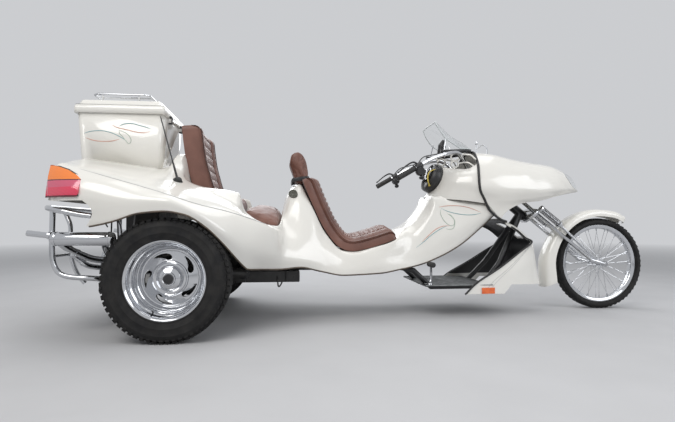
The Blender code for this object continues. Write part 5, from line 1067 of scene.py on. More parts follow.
TRUNK_FOOT, TRUNK_TOP = 0.910, 1.300


def trunk_side(x, z):
    """How far out the trunk's tapered side lies at a height."""
    return 0.245 + 0.040 * (z - TRUNK_FOOT) / (TRUNK_TOP - TRUNK_FOOT)


def body_side(x, z):
    """How far out the moulding lies at a place, found by looking at it from the right."""
    hit, spot, _, _ = body.ray_cast(Vector((x + REAR_AXLE, -2, z)), Vector((0, 1, 0)))
    return -spot.y if hit else 0.25


def painted(name, finish, line, depth, width=0.0022, steps=8, rise=0.0004):
    """A brush line on both sides of the machine, thinning out towards its ends."""
    strokes = []
    spots = faired([(x, 0, z) for x, z in line], steps)
    fade = np.minimum(1, np.minimum(np.arange(len(spots)), np.arange(len(spots))[::-1]) / steps)
    for side in (-1, 1):
        path = [(x + REAR_AXLE, side * (depth(x, z) + rise), z) for x, _, z in spots]
        strokes.append(swept(name, path, width * (0.35 + 0.65 * fade), 8))
    dress(joined(strokes, name), finish, "chassis", angle=60)


for name, finish, line in (
    ("scroll_teal_rear", teal, [(-0.620, 1.174), (-0.589, 1.185), (-0.552, 1.191), (-0.509, 1.192),
                                (-0.467, 1.183), (-0.425, 1.166), (-0.394, 1.149), (-0.370, 1.133)]),
    ("scroll_coral_rear", coral, [(-0.613, 1.148), (-0.579, 1.136), (-0.537, 1.128), (-0.490, 1.127),
                                  (-0.447, 1.132), (-0.415, 1.142)]),
    ("scroll_teal_front", teal, [(-0.411, 1.220), (-0.392, 1.233), (-0.360, 1.240), (-0.323, 1.238),
                                 (-0.286, 1.228), (-0.248, 1.218), (-0.219, 1.208)]),
    ("scroll_coral_front", coral, [(-0.453, 1.227), (-0.424, 1.214), (-0.387, 1.205), (-0.350, 1.197),
                                   (-0.313, 1.188), (-0.270, 1.185), (-0.227, 1.191)]),
    ("scroll_loop", sage, [(-0.413, 1.199), (-0.410, 1.177), (-0.394, 1.160), (-0.370, 1.128),
                           (-0.357, 1.116), (-0.344, 1.128), (-0.346, 1.150), (-0.364, 1.175),
                           (-0.393, 1.190), (-0.412, 1.197)]),
):
    painted(name, finish, line, trunk_side)
for name, finish, line in (
    ("tunnel_coral_top", coral, [(1.644, 0.731), (1.683, 0.738), (1.741, 0.741), (1.799, 0.737),
                                 (1.857, 0.723), (1.925, 0.695)]),
    ("tunnel_teal_top", teal, [(1.658, 0.722), (1.702, 0.702), (1.760, 0.687), (1.818, 0.679),
                               (1.876, 0.680), (1.925, 0.690)]),
    ("tunnel_sage", sage, [(1.654, 0.717), (1.652, 0.685), (1.668, 0.647), (1.692, 0.619), (1.720, 0.605),
                           (1.740, 0.617), (1.740, 0.647), (1.721, 0.671), (1.697, 0.687)]),
    ("tunnel_sage_low", sage, [(1.697, 0.687), (1.723, 0.674), (1.745, 0.638), (1.735, 0.591),
                               (1.706, 0.582), (1.682, 0.586)]),
    ("tunnel_coral_low", coral, [(1.706, 0.605), (1.663, 0.602), (1.614, 0.582), (1.557, 0.535),
                                 (1.518, 0.498)]),
    ("tunnel_teal_low", teal, [(1.475, 0.460), (1.528, 0.498), (1.585, 0.545), (1.643, 0.582),
                               (1.691, 0.605)]),
):
    painted(name, finish, line, body_side)
# The grey line along each fender is painted shade: it stands for the shadow in the moulding's crease.
crease = [(-0.462, 0.905), (-0.326, 0.866), (-0.189, 0.827), (-0.021, 0.777), (0.146, 0.722),
          (0.309, 0.681), (0.442, 0.636), (0.590, 0.583)]
painted("fender_crease", crease_shade_grey, crease, body_side, 0.0028, 32, 0.0)

# Two grey lines follow each wing's turned edge: painted shade where the edge turns away from the light.
WING_LINE = 0.0013
strokes = []
for column in (4, 5):
    for side in (-1, 1):
        edge = shifted(shield_net, 0.0005)[24:68, -1 - column if side > 0 else column]
        strokes.append(swept("wing_line", edge, WING_LINE, 8))
dress(joined(strokes, "wing_lines"), crease_shade_grey, "chassis", angle=60)

seam, _ = mottled("seam_dark", (0.05, 0.045, 0.040), 0.6, 50, (0.035, 0.032, 0.028), (0.075, 0.066, 0.055))
low_rim = both_sides([faired(COWL_LEVELS[0], 10)])[0] + SHIFT
dress(swept("cowl_seam", low_rim, 0.0028, 8), seam, "chassis", angle=60)
# A round strip lies under the body's lower lip, round the rear arches and on along the sills. Its dark brown is
# painted shadow under the rolled lip.
sill = lines[7][lines[7][:, 0] > -0.392]
strokes = [swept("sill_edge", placed(sill[::2], side) + np.array([0, 0, -0.002]), 0.0046, 8)
           for side in (-1, 1)]
sill_shadow_brown, _ = mottled("sill_lip_shadow", (0.075, 0.055, 0.040), 0.6, 25, (0.045, 0.034, 0.026),
                        (0.12, 0.09, 0.065))
dress(joined(strokes, "sill_edges"), sill_shadow_brown, "chassis", angle=60)

# The port high on the hump: a dark ribbed disc let into each side
# Its rings are one shape, laid square to the gelcoat where it sits.
PORT_X, PORT_Z = 0.661, 0.816
ports = []
for side in (-1, 1):
    spot = Vector((PORT_X + REAR_AXLE, side * (body_side(PORT_X, PORT_Z) + 0.001), PORT_Z))
    across = Vector((0.04, side * (body_side(0.685, PORT_Z) - body_side(0.645, PORT_Z)), 0)).normalized()
    up = Vector((0, side * (body_side(PORT_X, 0.836) - body_side(PORT_X, 0.796)), 0.04)).normalized()
    out = across.cross(up) * side
    out = -out if out.y * side < 0 else out
    loops = []
    for radius, rise in ((0.0425, -0.004), (0.0425, 0.0020), (0.0390, 0.0035), (0.0350, 0.0010),
                         (0.0300, 0.0010),
                         (0.0285, 0.0022), (0.0265, 0.0010), (0.0190, 0.0010), (0.0175, 0.0022),
                         (0.0155, 0.0010),
                         (0.0020, 0.0010)):
        loops.append([spot + out * rise + radius * (math.cos(t) * across + math.sin(t) * up) for t in turns(40)])
    ports.append(loft_of("port", loops))
olive, _ = mottled("port_olive", (0.07, 0.072, 0.055), 0.5, 60, (0.05, 0.052, 0.04), (0.10, 0.10, 0.08))
dress(joined(ports, "hump_ports"), olive, "chassis", angle=40)


# Tail lamps: clear amber above and red below, round the fenders' corners, each in a gasket
# The lens keeps the frame's solid; its bands, ribs and glow are in the material.
lamp, shader = finish_of("tail_lens", (0.6, 0.05, 0.08), 0.12)
tree = lamp.node_tree
place = tree.nodes.new("ShaderNodeTexCoord")
parts = tree.nodes.new("ShaderNodeSeparateXYZ")
tree.links.new(place.outputs["Object"], parts.inputs[0])
height = tree.nodes.new("ShaderNodeMapRange")
height.inputs["From Min"].default_value = 0.752
height.inputs["From Max"].default_value = 0.925
tree.links.new(parts.outputs["Z"], height.inputs["Value"])
bands = tree.nodes.new("ShaderNodeValToRGB")
bands.color_ramp.interpolation = "CONSTANT"
bands.color_ramp.elements[0].color = (0.10, 0.004, 0.012, 1)
bands.color_ramp.elements[1].position = 0.05
bands.color_ramp.elements[1].color = (0.62, 0.035, 0.085, 1)
for position, colour in ((0.30, (0.55, 0.085, 0.15, 1)), (0.50, (0.10, 0.015, 0.025, 1)),
                         (0.535, (0.80, 0.20, 0.02, 1)),
                         (0.97, (0.30, 0.05, 0.01, 1))):
    stop = bands.color_ramp.elements.new(position)
    stop.color = colour
tree.links.new(height.outputs["Result"], bands.inputs["Fac"])
tree.links.new(bands.outputs["Color"], shader.inputs["Base Color"])
tree.links.new(bands.outputs["Color"], shader.inputs["Emission Color"])
shader.inputs["Emission Strength"].default_value = 0.12
shader.inputs["Coat Weight"].default_value = 1.0
ribs = tree.nodes.new("ShaderNodeTexWave")
ribs.inputs["Scale"].default_value = 40
ribs.bands_direction = "DIAGONAL"
tree.links.new(place.outputs["Object"], ribs.inputs["Vector"])
bump_by(lamp, shader, ribs.outputs["Fac"], 0.0012, 0.35)


def kept(word, finish, bevel=0.0, angle=35):
    """A node kept as it is, welded, with eased edges and smooth shading."""
    piece = node[word]
    piece.data.materials.clear()
    piece.data.materials.append(finish)
    piece.data.polygons.foreach_set("use_smooth", [True] * len(piece.data.polygons))
    weld(piece)
    if bevel:
        ease_edges(piece, bevel, 2, angle)
    step = piece.modifiers.new("split", "EDGE_SPLIT")
    step.split_angle = math.radians(angle)
    step = piece.modifiers.new("flat", "WEIGHTED_NORMAL")
    step.weight = 100
    step.keep_sharp = True


LAMP_X, LAMP_Z, LAMP_HALF = -0.53, 0.83, 0.09
LAMP_OUTLINE = [(-0.560, 0.914), (-0.508, 0.897), (-0.452, 0.866), (-0.426, 0.844), (-0.4185, 0.816),
                (-0.422, 0.783),
                (-0.432, 0.757), (-0.442, 0.749), (-0.514, 0.746), (-0.75, 0.744), (-0.75, 0.925),
                (-0.600, 0.925)]


def lamp_part(word, side, name, grow, sink):
    """The lamp's own solid, trimmed to its slanted outline, and pushed in or out a little."""
    source = node["tail_lamp_" + word]
    part = source.copy()
    part.data = source.data.copy()
    bpy.context.scene.collection.objects.link(part)
    part.name = part.data.name = name
    pick(part)
    bpy.ops.object.mode_set(mode="EDIT")
    bpy.ops.mesh.select_all(action="SELECT")
    bpy.ops.mesh.remove_doubles(threshold=MERGE)
    if sink:
        bpy.ops.transform.shrink_fatten(value=-sink)
    bpy.ops.object.mode_set(mode="OBJECT")
    outline = [(x + (x - LAMP_X) * grow / LAMP_HALF + REAR_AXLE, z + (z - LAMP_Z) * grow / LAMP_HALF)
               for x, z in LAMP_OUTLINE]
    cut_out(part, outline_cutter("trim", outline, side * 0.5, side * 1.0), "INTERSECT")
    return part


for side, word in SIDES:
    gasket = lamp_part(word, side, "tail_gasket_" + word, 0.006, 0.006)
    glass = lamp_part(word, side, "tail_glass_" + word, 0.0, 0.0)
    ease_edges(glass, 0.006, 3, 50)
    apply_all(glass)
    dress(glass, lamp, "chassis", ["tail_lamp_" + word], 50)
    dress(gasket, rubber, "chassis", angle=40)

# Trunk: a tapered ivory box with a lidded cap, chrome rack and two hinges at its front
# Box, lid, rack and antenna keep the frame's solids; hinges, a line and a boot are added.
kept("trunk", gelcoat, 0.0, 30)
kept("trunk_lid", gelcoat, 0.0, 30)
kept("lid_rack", chrome, 0.0, 50)
kept("antenna", satin, 0.0, 50)
towards = (Vector((0.002 + REAR_AXLE, -0.552, 0.862)) - camera_at).normalized()
_, foot, facing, _ = body.ray_cast(camera_at, towards)
base = swept("antenna_base", [foot + facing * t for t in (-0.004, 0.001, 0.004, 0.0045, 0.012, 0.019, 0.023)],
             [0.027, 0.0275, 0.0265, 0.0215, 0.0200, 0.0140, 0.004], 28)
dress(base, rubber, "chassis", angle=40)
low = Vector((0.002 + REAR_AXLE, -0.55, 0.862))
sleeve_up = (Vector((-0.12 + REAR_AXLE, -0.46, 1.247)) - low).normalized()
sleeve = swept("antenna_sleeve", [low + sleeve_up * t for t in (0.004, 0.02, 0.10, 0.13)],
               [0.0075, 0.0068, 0.0056, 0.0042], 14)
dress(sleeve, rubber, "chassis", angle=40)
HINGE_OUT = 0.16
hinges = []
for side in (-1, 1):
    pin = [(-0.126 + REAR_AXLE, side * HINGE_OUT + dy, 1.304) for dy in (-0.024, -0.022, 0.022, 0.024)]
    hinges.append(swept("knuckle", pin, [0.006, 0.0085, 0.0085, 0.006], 16))
    leaf = [(-0.1305 + REAR_AXLE, side * HINGE_OUT, z) for z in (1.262, 1.266, 1.296, 1.300)]
    hinges.append(swept("leaf", leaf, [0.010, 0.013, 0.013, 0.010], 12))
dress(joined(hinges, "lid_hinges"), satin, "chassis", angle=40)
# A grey line round the box at its step is painted shade: it stands for the shadow line of the step.
STEP_Z, PROUD, ROUND, HALF_ROUND = 0.9585, 0.0004, 0.03, 0.008
share = (STEP_Z - TRUNK_FOOT) / (TRUNK_TOP - TRUNK_FOOT)
half = trunk_side(0, STEP_Z) + PROUD
back, front = -0.645 - 0.019 * share - PROUD, -0.166 + 0.019 * share + PROUD
right = [(back, -half + ROUND), (back + HALF_ROUND, -half + HALF_ROUND), (back + ROUND, -half),
         (front - ROUND, -half), (front - HALF_ROUND, -half + HALF_ROUND), (front, -half + ROUND)]
ring = [(x + REAR_AXLE, y, STEP_Z) for x, y in right + [(x, -y) for x, y in reversed(right)]]
trunk_line = swept("trunk_step", ring[2:] + ring[:2], 0.0016, 8, closed=True)
dress(trunk_line, crease_shade_grey, "chassis", angle=60)


# Windshield: a small clear bubble in a black channel, with a bright cut edge
# Thin struts, eyes and arms are added under it.
SCREEN_LINES = (
    [(1.943, 0, 1.149), (1.925, 0.07, 1.146), (1.875, 0.13, 1.142), (1.812, 0.165, 1.138)],
    [(1.881, 0, 1.192), (1.868, 0.065, 1.190), (1.825, 0.125, 1.182), (1.757, 0.165, 1.172)],
    [(1.786, 0, 1.246), (1.778, 0.062, 1.243), (1.750, 0.122, 1.228), (1.706, 0.165, 1.208)],
    [(1.729, 0, 1.296), (1.722, 0.06, 1.292), (1.700, 0.12, 1.280), (1.664, 0.163, 1.266)],
    [(1.672, 0, 1.342), (1.668, 0.055, 1.340), (1.656, 0.110, 1.332), (1.640, 0.150, 1.314)],
)
clear, shader = finish_of("clear_acrylic", (0.97, 0.98, 0.98), 0.02)
shader.inputs["Transmission Weight"].default_value = 1.0
shader.inputs["IOR"].default_value = 1.30
rough_by(clear, shader, wire_noise(clear, 6), 0.01, 0.05)
edge_light, _ = mottled("cut_edge", (0.62, 0.66, 0.66), 0.2, 30, (0.55, 0.60, 0.60), (0.70, 0.74, 0.74))
rows = both_sides([faired(level, 10) for level in SCREEN_LINES])
screen_net = np.array([faired(rows[:, i], 8) for i in range(rows.shape[1])]).transpose(1, 0, 2) + SHIFT
screen = net_piece("windshield_bubble", screen_net)
turn_out(screen, (1, 0, 1))
thicken(screen, 0.004, 0)
dress(screen, clear, "chassis", ["windshield"], 40)
rim_path = np.concatenate([screen_net[0], screen_net[1:-1, -1], screen_net[-1, ::-1], screen_net[-2:0:-1, 0]])
screen_edge = swept("screen_edge", rim_path, 0.0028, 8, closed=True)
dress(screen_edge, edge_light, "chassis", angle=60)

channel = faired([(1.668, -0.168, 1.114), (1.72, -0.169, 1.116), (1.80, -0.159, 1.121),
                  (1.868, -0.121, 1.128),
                  (1.915, -0.068, 1.132), (1.934, 0, 1.134)], 8)
housing = faired(placed([(1.722, 0, 1.118), (1.726, 0, 1.150), (1.738, 0, 1.190), (1.748, 0, 1.222)]), 8)
swell = list(np.linspace(0.018, 0.028, 14)) + list(np.linspace(0.028, 0.010, 11))
pieces = [swept("channel", placed(mirrored(channel)), 0.0125, 14), swept("housing", housing, swell, 20),
          swept("cross", placed([(1.70, -0.165, 1.113), (1.72, 0, 1.118), (1.70, 0.165, 1.113)]), 0.009, 12)]
dress(joined(pieces, "screen_channel"), satin, "chassis", ["windshield_frame"], 50)
pieces = []
for side in (-1, 1):
    for path in ([(1.714, 0.146, 1.207), (1.696, 0.158, 1.116)], [(1.742, 0.125, 1.160),
        (1.752, 0.140, 1.116)]):
        pieces.append(swept("strut", placed(path, side), 0.0042, 10))
dress(joined(pieces, "screen_struts"), chrome, "chassis", angle=60)
BRACKET_OUT = 0.150
pieces = []
for side in (-1, 1):
    for x, z, wide, high in ((1.779, 1.080, 0.030, 0.024), (1.776, 1.030, 0.026, 0.023)):
        ring = [(x + wide * math.cos(t), BRACKET_OUT, z + high * math.sin(t)) for t in turns(24)]
        pieces.append(swept("eye", placed(ring, side), 0.0062, 10, closed=True))
    for path in ([(1.790, 0.150, 1.104), (1.84, 0.160, 1.098), (1.88, 0.178, 1.090), (1.908, 0.196, 1.058)],
                 [(1.800, 0.150, 1.036), (1.84, 0.160, 1.042), (1.87, 0.172, 1.036), (1.896, 0.196, 1.010)],
                 [(1.765, 0.150, 1.008), (1.77, 0.154, 0.998), (1.775, 0.156, 0.985)],
                 [(1.752, 0.150, 1.094), (1.742, 0.156, 1.104), (1.735, 0.160, 1.112)]):
        pieces.append(swept("arm", faired(placed(path, side), 6), 0.0060, 10))
dress(joined(pieces, "screen_brackets"), gelcoat, "chassis", angle=60)


# The clear bubble over the headlamp carries on the nose's own lines to its tip
# It stands ahead of the lamp's chromed bowl, which the CAD shape shows.
cover_net = []
for x, z, side_x, side_z, half in ((2.630, 1.002, 2.596, 0.984, 0.095), (2.676, 0.978, 2.606, 0.955, 0.122),
                                   (2.712, 0.944, 2.622, 0.920, 0.134), (2.735, 0.905, 2.660, 0.884, 0.116),
                                   (2.744, 0.878, 2.700, 0.868, 0.086), (2.745, 0.860, 2.735, 0.856, 0.044)):
    cover_net.append([(x + (side_x - x) * t * t + REAR_AXLE, half * t, z + (side_z - z) * t * t)
                      for t in np.linspace(-1, 1, 29)])
cover_net = np.array([faired(np.array(cover_net)[:, i], 6) for i in range(29)])
cover = net_piece("headlamp_bubble", cover_net)
turn_out(cover, (1, 0, 0))
thicken(cover, 0.003, 0)
dress(cover, clear, "chassis", ["headlamp_cover"], 40)
kept("headlamp", chrome, 0.0, 40)


# A chromed feeler on the nose: a thin stem with a ball on it
# A crook leaves the stem to the right and ends in a foot of its own.
tip = (1.994 + REAR_AXLE, 0)
stem = swept("stem", [(*tip, z) for z in (1.112, 1.120, 1.1205, 1.192)], [0.011, 0.011, 0.0042, 0.0042], 12)
ball = swept("ball", [(*tip, 1.190 + 0.030 * t) for t in (0, 0.08, 0.25, 0.5, 0.75, 0.92, 1)],
             [0.003, 0.0062, 0.0090, 0.0102, 0.0090, 0.0060, 0.001], 16)
crook_path = faired(placed([(1.994, 0, 1.160), (2.008, -0.036, 1.177), (2.024, -0.060, 1.180),
                            (2.034, -0.080, 1.160), (2.031, -0.100, 1.122), (2.016, -0.116, 1.086)]), 8)
crook = swept("crook", crook_path, 0.0036, 10)
foot_path = [Vector(crook_path[-1]) + Vector((0, -0.3, -0.95)) * t for t in (-0.004, 0.001, 0.006, 0.011)]
foot = swept("foot", foot_path, [0.004, 0.0085, 0.0085, 0.004], 12)
dress(joined([stem, ball, crook, foot], "nose_feeler"), chrome, "chassis", ["nose_stem"], 40)


# The headlamp's ribbed glass, behind the clear bubble
# It is a shallow dome, turned about the lamp's own line.
lens, shader = finish_of("lamp_glass", (0.85, 0.88, 0.90), 0.06)
shader.inputs["Coat Weight"].default_value = 1.0
ribs = wire_noise(lens, 60, 1, (0.02, 1, 0.02))
bump_by(lens, shader, ribs, 0.002, 0.6)
dome = spun("headlamp_glass", [(0.0005, 0.0285), (0.020, 0.0270), (0.036, 0.0225), (0.047, 0.0170),
                               (0.047, 0.0155),
                               (0.0005, 0.0265)], (2.640 + REAR_AXLE, 0, 0.934), 48, "X")
dress(dome, lens, "chassis", angle=40)


# Instruments: a black oval panel with two dials behind chrome bezels, and yellow-sleeved wires
# Each dial has eleven pale marks and an orange needle, sunk below its bezel.
pod = loft_of("instrument_pod", [oval(*row) for row in (
    (0.112, 0.094, -0.030), (0.124, 0.104, -0.004), (0.127, 0.106, 0.012), (0.125, 0.104, 0.034),
    (0.118, 0.098, 0.050),
    (0.110, 0.090, 0.054), (0.104, 0.085, 0.050), (0.100, 0.082, 0.040), (0.05, 0.04, 0.038),
    (0.002, 0.002, 0.038))])
dress(pod, satin, "chassis", ["gauge_cluster"], 40)
dial, _ = mottled("dial_face", (0.02, 0.02, 0.022), 0.3, 90, (0.012, 0.012, 0.014), (0.03, 0.03, 0.032))
DIAL_OUT, DIAL_UP, DIAL_ACROSS, MARKS = 0.068, 0.012, 0.048, 11
marks, bezels, needles, faces = [], [], [], []


def across_dial(across, turn, radii, out):
    """Places on a dial's face at some radii, all in one direction from its middle."""
    return [dash_spot(across + r * math.cos(turn), DIAL_UP + r * math.sin(turn), out) for r in radii]


for across in (-DIAL_ACROSS, DIAL_ACROSS):
    bezels.append(oval(0.0425, 0.0425, DIAL_OUT, across, DIAL_UP))
    faces.append(loft_of("dial", [oval(r, r, out, across, DIAL_UP) for r, out in (
        (0.040, 0.030), (0.0435, 0.036), (0.0435, DIAL_OUT - 0.004), (0.0405, DIAL_OUT),
        (0.0395, DIAL_OUT - 0.008), (0.001, DIAL_OUT - 0.008))]))
    for i in range(MARKS):
        ends = across_dial(across, math.radians(225 - 27 * i), (0.027, 0.035), DIAL_OUT - 0.0072)
        marks.append(swept("mark", ends, 0.0010, 6))
    ends = across_dial(across, math.radians(200), (-0.006, 0.028), DIAL_OUT - 0.006)
    needles.append(swept("needle", ends, [0.0016, 0.0006], 6))
dress(joined(faces, "dials"), dial, "chassis", angle=40)
rings = [swept("bezel", ring, 0.0034, 10, closed=True) for ring in bezels]
dress(joined(rings, "bezels"), chrome, "chassis", angle=60)
ivory_ink, _ = mottled("dial_ink", (0.8, 0.8, 0.76), 0.4, 90, (0.72, 0.72, 0.68), (0.85, 0.85, 0.80))
dress(joined(marks, "dial_marks"), ivory_ink, "chassis", angle=60)
orange, shader = mottled("amber_clear", (0.80, 0.13, 0.015), 0.15, 70, (0.70, 0.10, 0.01), (0.88, 0.17, 0.02))
shader.inputs["Coat Weight"].default_value = 1.0
dress(joined(needles, "needles"), orange, "chassis", angle=60)
yellow, _ = mottled("yellow_sleeve", (0.55, 0.42, 0.06), 0.5, 60, (0.48, 0.36, 0.05), (0.62, 0.48, 0.09))
loops = []
for shift in (0.0, 0.013, 0.026):
    loops.append(swept("sleeve", faired([
        dash_spot(-0.112 + shift, -0.076, 0.040), dash_spot(-0.118 + shift, -0.052, 0.066 - shift / 2),
        dash_spot(-0.108 + shift, -0.018, 0.078 - shift / 2),
        dash_spot(-0.100 + shift, 0.020, 0.074 - shift / 2),
        dash_spot(-0.104 + shift, 0.048, 0.044)], 6), 0.0036, 8))
dress(joined(loops, "instrument_wires"), yellow, "chassis", angle=60)
for word in ("reflector_right", "reflector_left"):
    kept(word, orange, 0.0015, 40)


# Steering: chrome springer fork, its sprung rods and coils, and the pulled-back bars
# Fork and rails keep the frame's solids; coils, bars, controls and cables are finer.
RAKE = math.radians(51.1)
NECK = Vector((2.20 + REAR_AXLE, 0, 0.788))


def steer_spot(along, out=0.0, ahead=0.0):
    """A place along the steering axis from the neck, out to the side and ahead of it."""
    down = Vector((math.sin(RAKE), 0, -math.cos(RAKE)))
    forward = Vector((math.cos(RAKE), 0, math.sin(RAKE)))
    return NECK + down * along + forward * ahead + Vector((0, out, 0))


COIL_TURNS, COIL_STEPS = 12, 20
kept("fork", chrome, 0.0, 40)
kept("frame", satin, 0.0, 45)
coil_finish, shader = finish_of("coil_chrome", (0.30, 0.30, 0.31), 0.16, 1.0)
rough_by(coil_finish, shader, wire_noise(coil_finish, 30), 0.12, 0.28)
for side, word in SIDES:
    top = steer_spot(0.205 + 0.016, side * 0.085, 0.098)
    seat_at = steer_spot(0.205 + 0.190, side * 0.085, 0.100)
    foot = Vector(FRONT_HUB) + Vector((-0.052, side * 0.085, 0.018))
    down = (seat_at - top).normalized()
    rod = swept("rod", [top - down * 0.002, seat_at, foot], 0.0088, 18)
    sideways = Vector((0, 1, 0))
    outwards = down.cross(sideways)
    path = []
    for i in range(COIL_TURNS * COIL_STEPS + 1):
        angle = 2 * math.pi * i / COIL_STEPS
        middle = top + (seat_at - top) * (0.05 + 0.90 * i / (COIL_TURNS * COIL_STEPS))
        path.append(middle + 0.0212 * (math.cos(angle) * sideways + math.sin(angle) * outwards))
    coil = swept("coil_" + word, path, 0.0034, 8)
    dress(coil, coil_finish, "steering", angle=60)
    pieces = [rod]
    for spot, turn in ((top, 1), (seat_at, -1)):
        cup = [spot + down * along * turn for along in (-0.008, -0.0065, 0.0045, 0.006)]
        pieces.append(swept("cup", cup, [0.0225, 0.0255, 0.0262, 0.0215], 32))
    nut = seat_at + (foot - seat_at).normalized() * 0.014
    pieces.append(swept("nut", [nut, nut + (foot - seat_at).normalized() * 0.014], 0.0130, 6))
    dress(joined(pieces, "sprung_rod_" + word), chrome, "steering", ["spring_leg_" + word], 40)

GRIP_RINGS = 44
clamp = steer_spot(-0.300, 0, 0.030)
half_bar = [(clamp.x, -0.001, clamp.z), (clamp.x, -0.03, clamp.z), (clamp.x - 0.02, -0.09, clamp.z)]
half_bar += [(x + REAR_AXLE, y, z) for x, y, z in (
    (1.885, -0.130, 1.003), (1.835, -0.163, 1.060), (1.780, -0.212, 1.098), (1.70, -0.265, 1.088),
    (1.58, -0.315, 1.050), (1.44, -0.352, 0.975), (1.335, -0.365, 0.915))]
half_bar = faired(half_bar, 10)
full_bar = [p * MIRROR for p in half_bar[::-1]] + list(half_bar)
pieces = [swept("bar", full_bar, 0.0122, 20)]
for side in (-1, 1):
    low = steer_spot(-0.250, side * 0.05, 0.03)
    high = clamp + Vector((0, side * 0.05, 0.004))
    riser = [low.lerp(high, share) for share in (0, 0.55, 0.56, 1)]
    pieces.append(swept("riser", riser, [0.0155, 0.0150, 0.0175, 0.0175], 24))
    for i in (64, 73):
        spot, after = Vector(half_bar[i]), Vector(half_bar[i + 1])
        spot.y, after.y = -spot.y * side, -after.y * side
        run = (after - spot).normalized()
        pieces.append(swept("ring", [spot, spot + run * 0.012], 0.0160, 24))
dress(joined(pieces, "pulled_back_bars"), chrome, "steering", ["handlebar"], 40)

for side, word in SIDES:
    path = [Vector((p[0], -side * p[1], p[2])) for p in half_bar[-11:]]
    run = (path[-1] - path[0]).normalized()
    spots = [path[0].lerp(path[-1] + run * 0.012, i / (GRIP_RINGS - 1)) for i in range(GRIP_RINGS)]
    radii = [0.0172 + (0.0014 if i % 2 else 0.0) for i in range(GRIP_RINGS)]
    radii[0], radii[1], radii[-1] = radii[0] + 0.0035, radii[1] + 0.0035, radii[-1] - 0.004
    hand = swept("hand_grip_" + word, spots, radii, 20)
    dress(hand, rubber, "steering", ["grip_" + word], 60)
    near = path[0] - run * 0.030
    side_out = Vector((0, side, 0))
    drop = run.cross(Vector((0, 1, 0))).normalized()
    drop = -drop if drop.z > 0 else drop
    box = swept("switch", [near + run * t for t in (-0.024, -0.020, 0.016, 0.020)],
                [0.019, 0.0225, 0.0225, 0.019], 18)
    middle = near + drop * 0.034 + run * 0.010
    pot = swept("pot", [middle + side_out * t for t in (-0.020, -0.017, 0.020, 0.024, 0.021, 0.012)],
                [0.024, 0.0275, 0.0275, 0.024, 0.0205, 0.0205], 28)
    arm = swept("perch", [near + drop * 0.012, near + drop * 0.022, middle], [0.010, 0.011, 0.012], 12)
    low_at = middle + drop * 0.038 + run * 0.012
    low_knob = swept("low_knob", [low_at + side_out * t for t in (-0.014, -0.011, 0.012, 0.015)],
                     [0.012, 0.0145, 0.0145, 0.011], 18)
    stalk = swept("stalk", [middle, low_at], 0.007, 10)
    lever_path = faired([near - drop * 0.012, near + run * 0.025 - drop * 0.040 + side_out * 0.010,
                         near + run * 0.075 - drop * 0.042 + side_out * 0.006, near + run * 0.140 - drop * 0.030], 8)
    lever = swept("lever", lever_path, np.linspace(0.0068, 0.0042, len(lever_path)), 12)
    knob = swept("knob", [lever_path[-1], Vector(lever_path[-1]) + run * 0.008], [0.0065, 0.0055], 12)
    controls = joined([box, pot, arm, low_knob, stalk, lever, knob], "hand_controls_" + word)
    dress(controls, satin, "steering", angle=45)
    route = [near - drop * 0.016] + list(placed([
        (1.505, 0.318, 1.052), (1.58, 0.300, 1.072), (1.66, 0.268, 1.092), (1.70, 0.249, 1.094),
        (1.772, 0.200, 1.088), (1.825, 0.152, 1.052), (1.872, 0.118, 1.000), (1.915, 0.070, 0.955)], side))
    cable = swept("hand_cable_" + word, faired([tuple(spot) for spot in route], 8), 0.0034, 8)
    dress(cable, rubber, "steering", angle=60)


# Power unit: an air-cooled flat four behind the axle, all of bare cast metal and black tin
# It hangs in the open under the tail, so its cylinders, fan shroud and pulley show from behind.
cast = bpy.data.materials["cast_alloy"]
black, shader = mottled("black_paint", (0.018, 0.018, 0.019), 0.34, 9, (0.012, 0.012, 0.012),
                        (0.034, 0.032, 0.030))
rough_by(black, shader, wire_noise(black, 30), 0.26, 0.46)
kept("engine", cast, 0.003, 40)
kept("fan_shroud", black, 0.006, 40)
kept("rear_axle", black, 0.0, 40)
CYLINDER_Z = 0.385
FIN_COUNT, FIN_PITCH = 9, 0.0155
fins = []
for side in (-1, 1):
    for x in (-0.24, -0.39):
        for i in range(FIN_COUNT):
            y = side * (0.142 + FIN_PITCH * i)
            ring = [(x + REAR_AXLE, y + dy, CYLINDER_Z) for dy in (-0.0022, -0.0018, 0.0018, 0.0022)]
            fins.append(swept("fin", ring, [0.063, 0.0665, 0.0665, 0.063], 32))
dress(joined(fins, "cylinder_fins"), cast, "chassis", angle=40)
COVER_SHAPE = ((-1, -0.6), (-0.93, -1), (0.93, -1), (1, -0.6), (1, 0.6), (0.93, 1), (-0.93, 1), (-1, 0.6))
covers = []
for side in (-1, 1):
    loops = []
    for out, grow in ((0.383, 0.0), (0.392, 0.004), (0.404, 0.004), (0.412, -0.004), (0.415, -0.018)):
        loops.append([(-0.315 + REAR_AXLE + dx * (0.148 + grow), side * out, CYLINDER_Z + dz * (0.063 + grow))
                      for dx, dz in COVER_SHAPE])
    covers.append(loft_of("rocker_cover", loops))
dress(joined(covers, "rocker_covers"), chrome, "chassis", angle=35)
CRANK_Z, DYNAMO_Z = 0.360, 0.742
CRANK_BELT, DYNAMO_BELT = 0.084, 0.047


def turned(name, z, xs, radii, sides):
    """A round part in the middle plane, turned about a line that runs along the machine."""
    return swept(name, [(x + REAR_AXLE, 0, z) for x in xs], radii, sides)


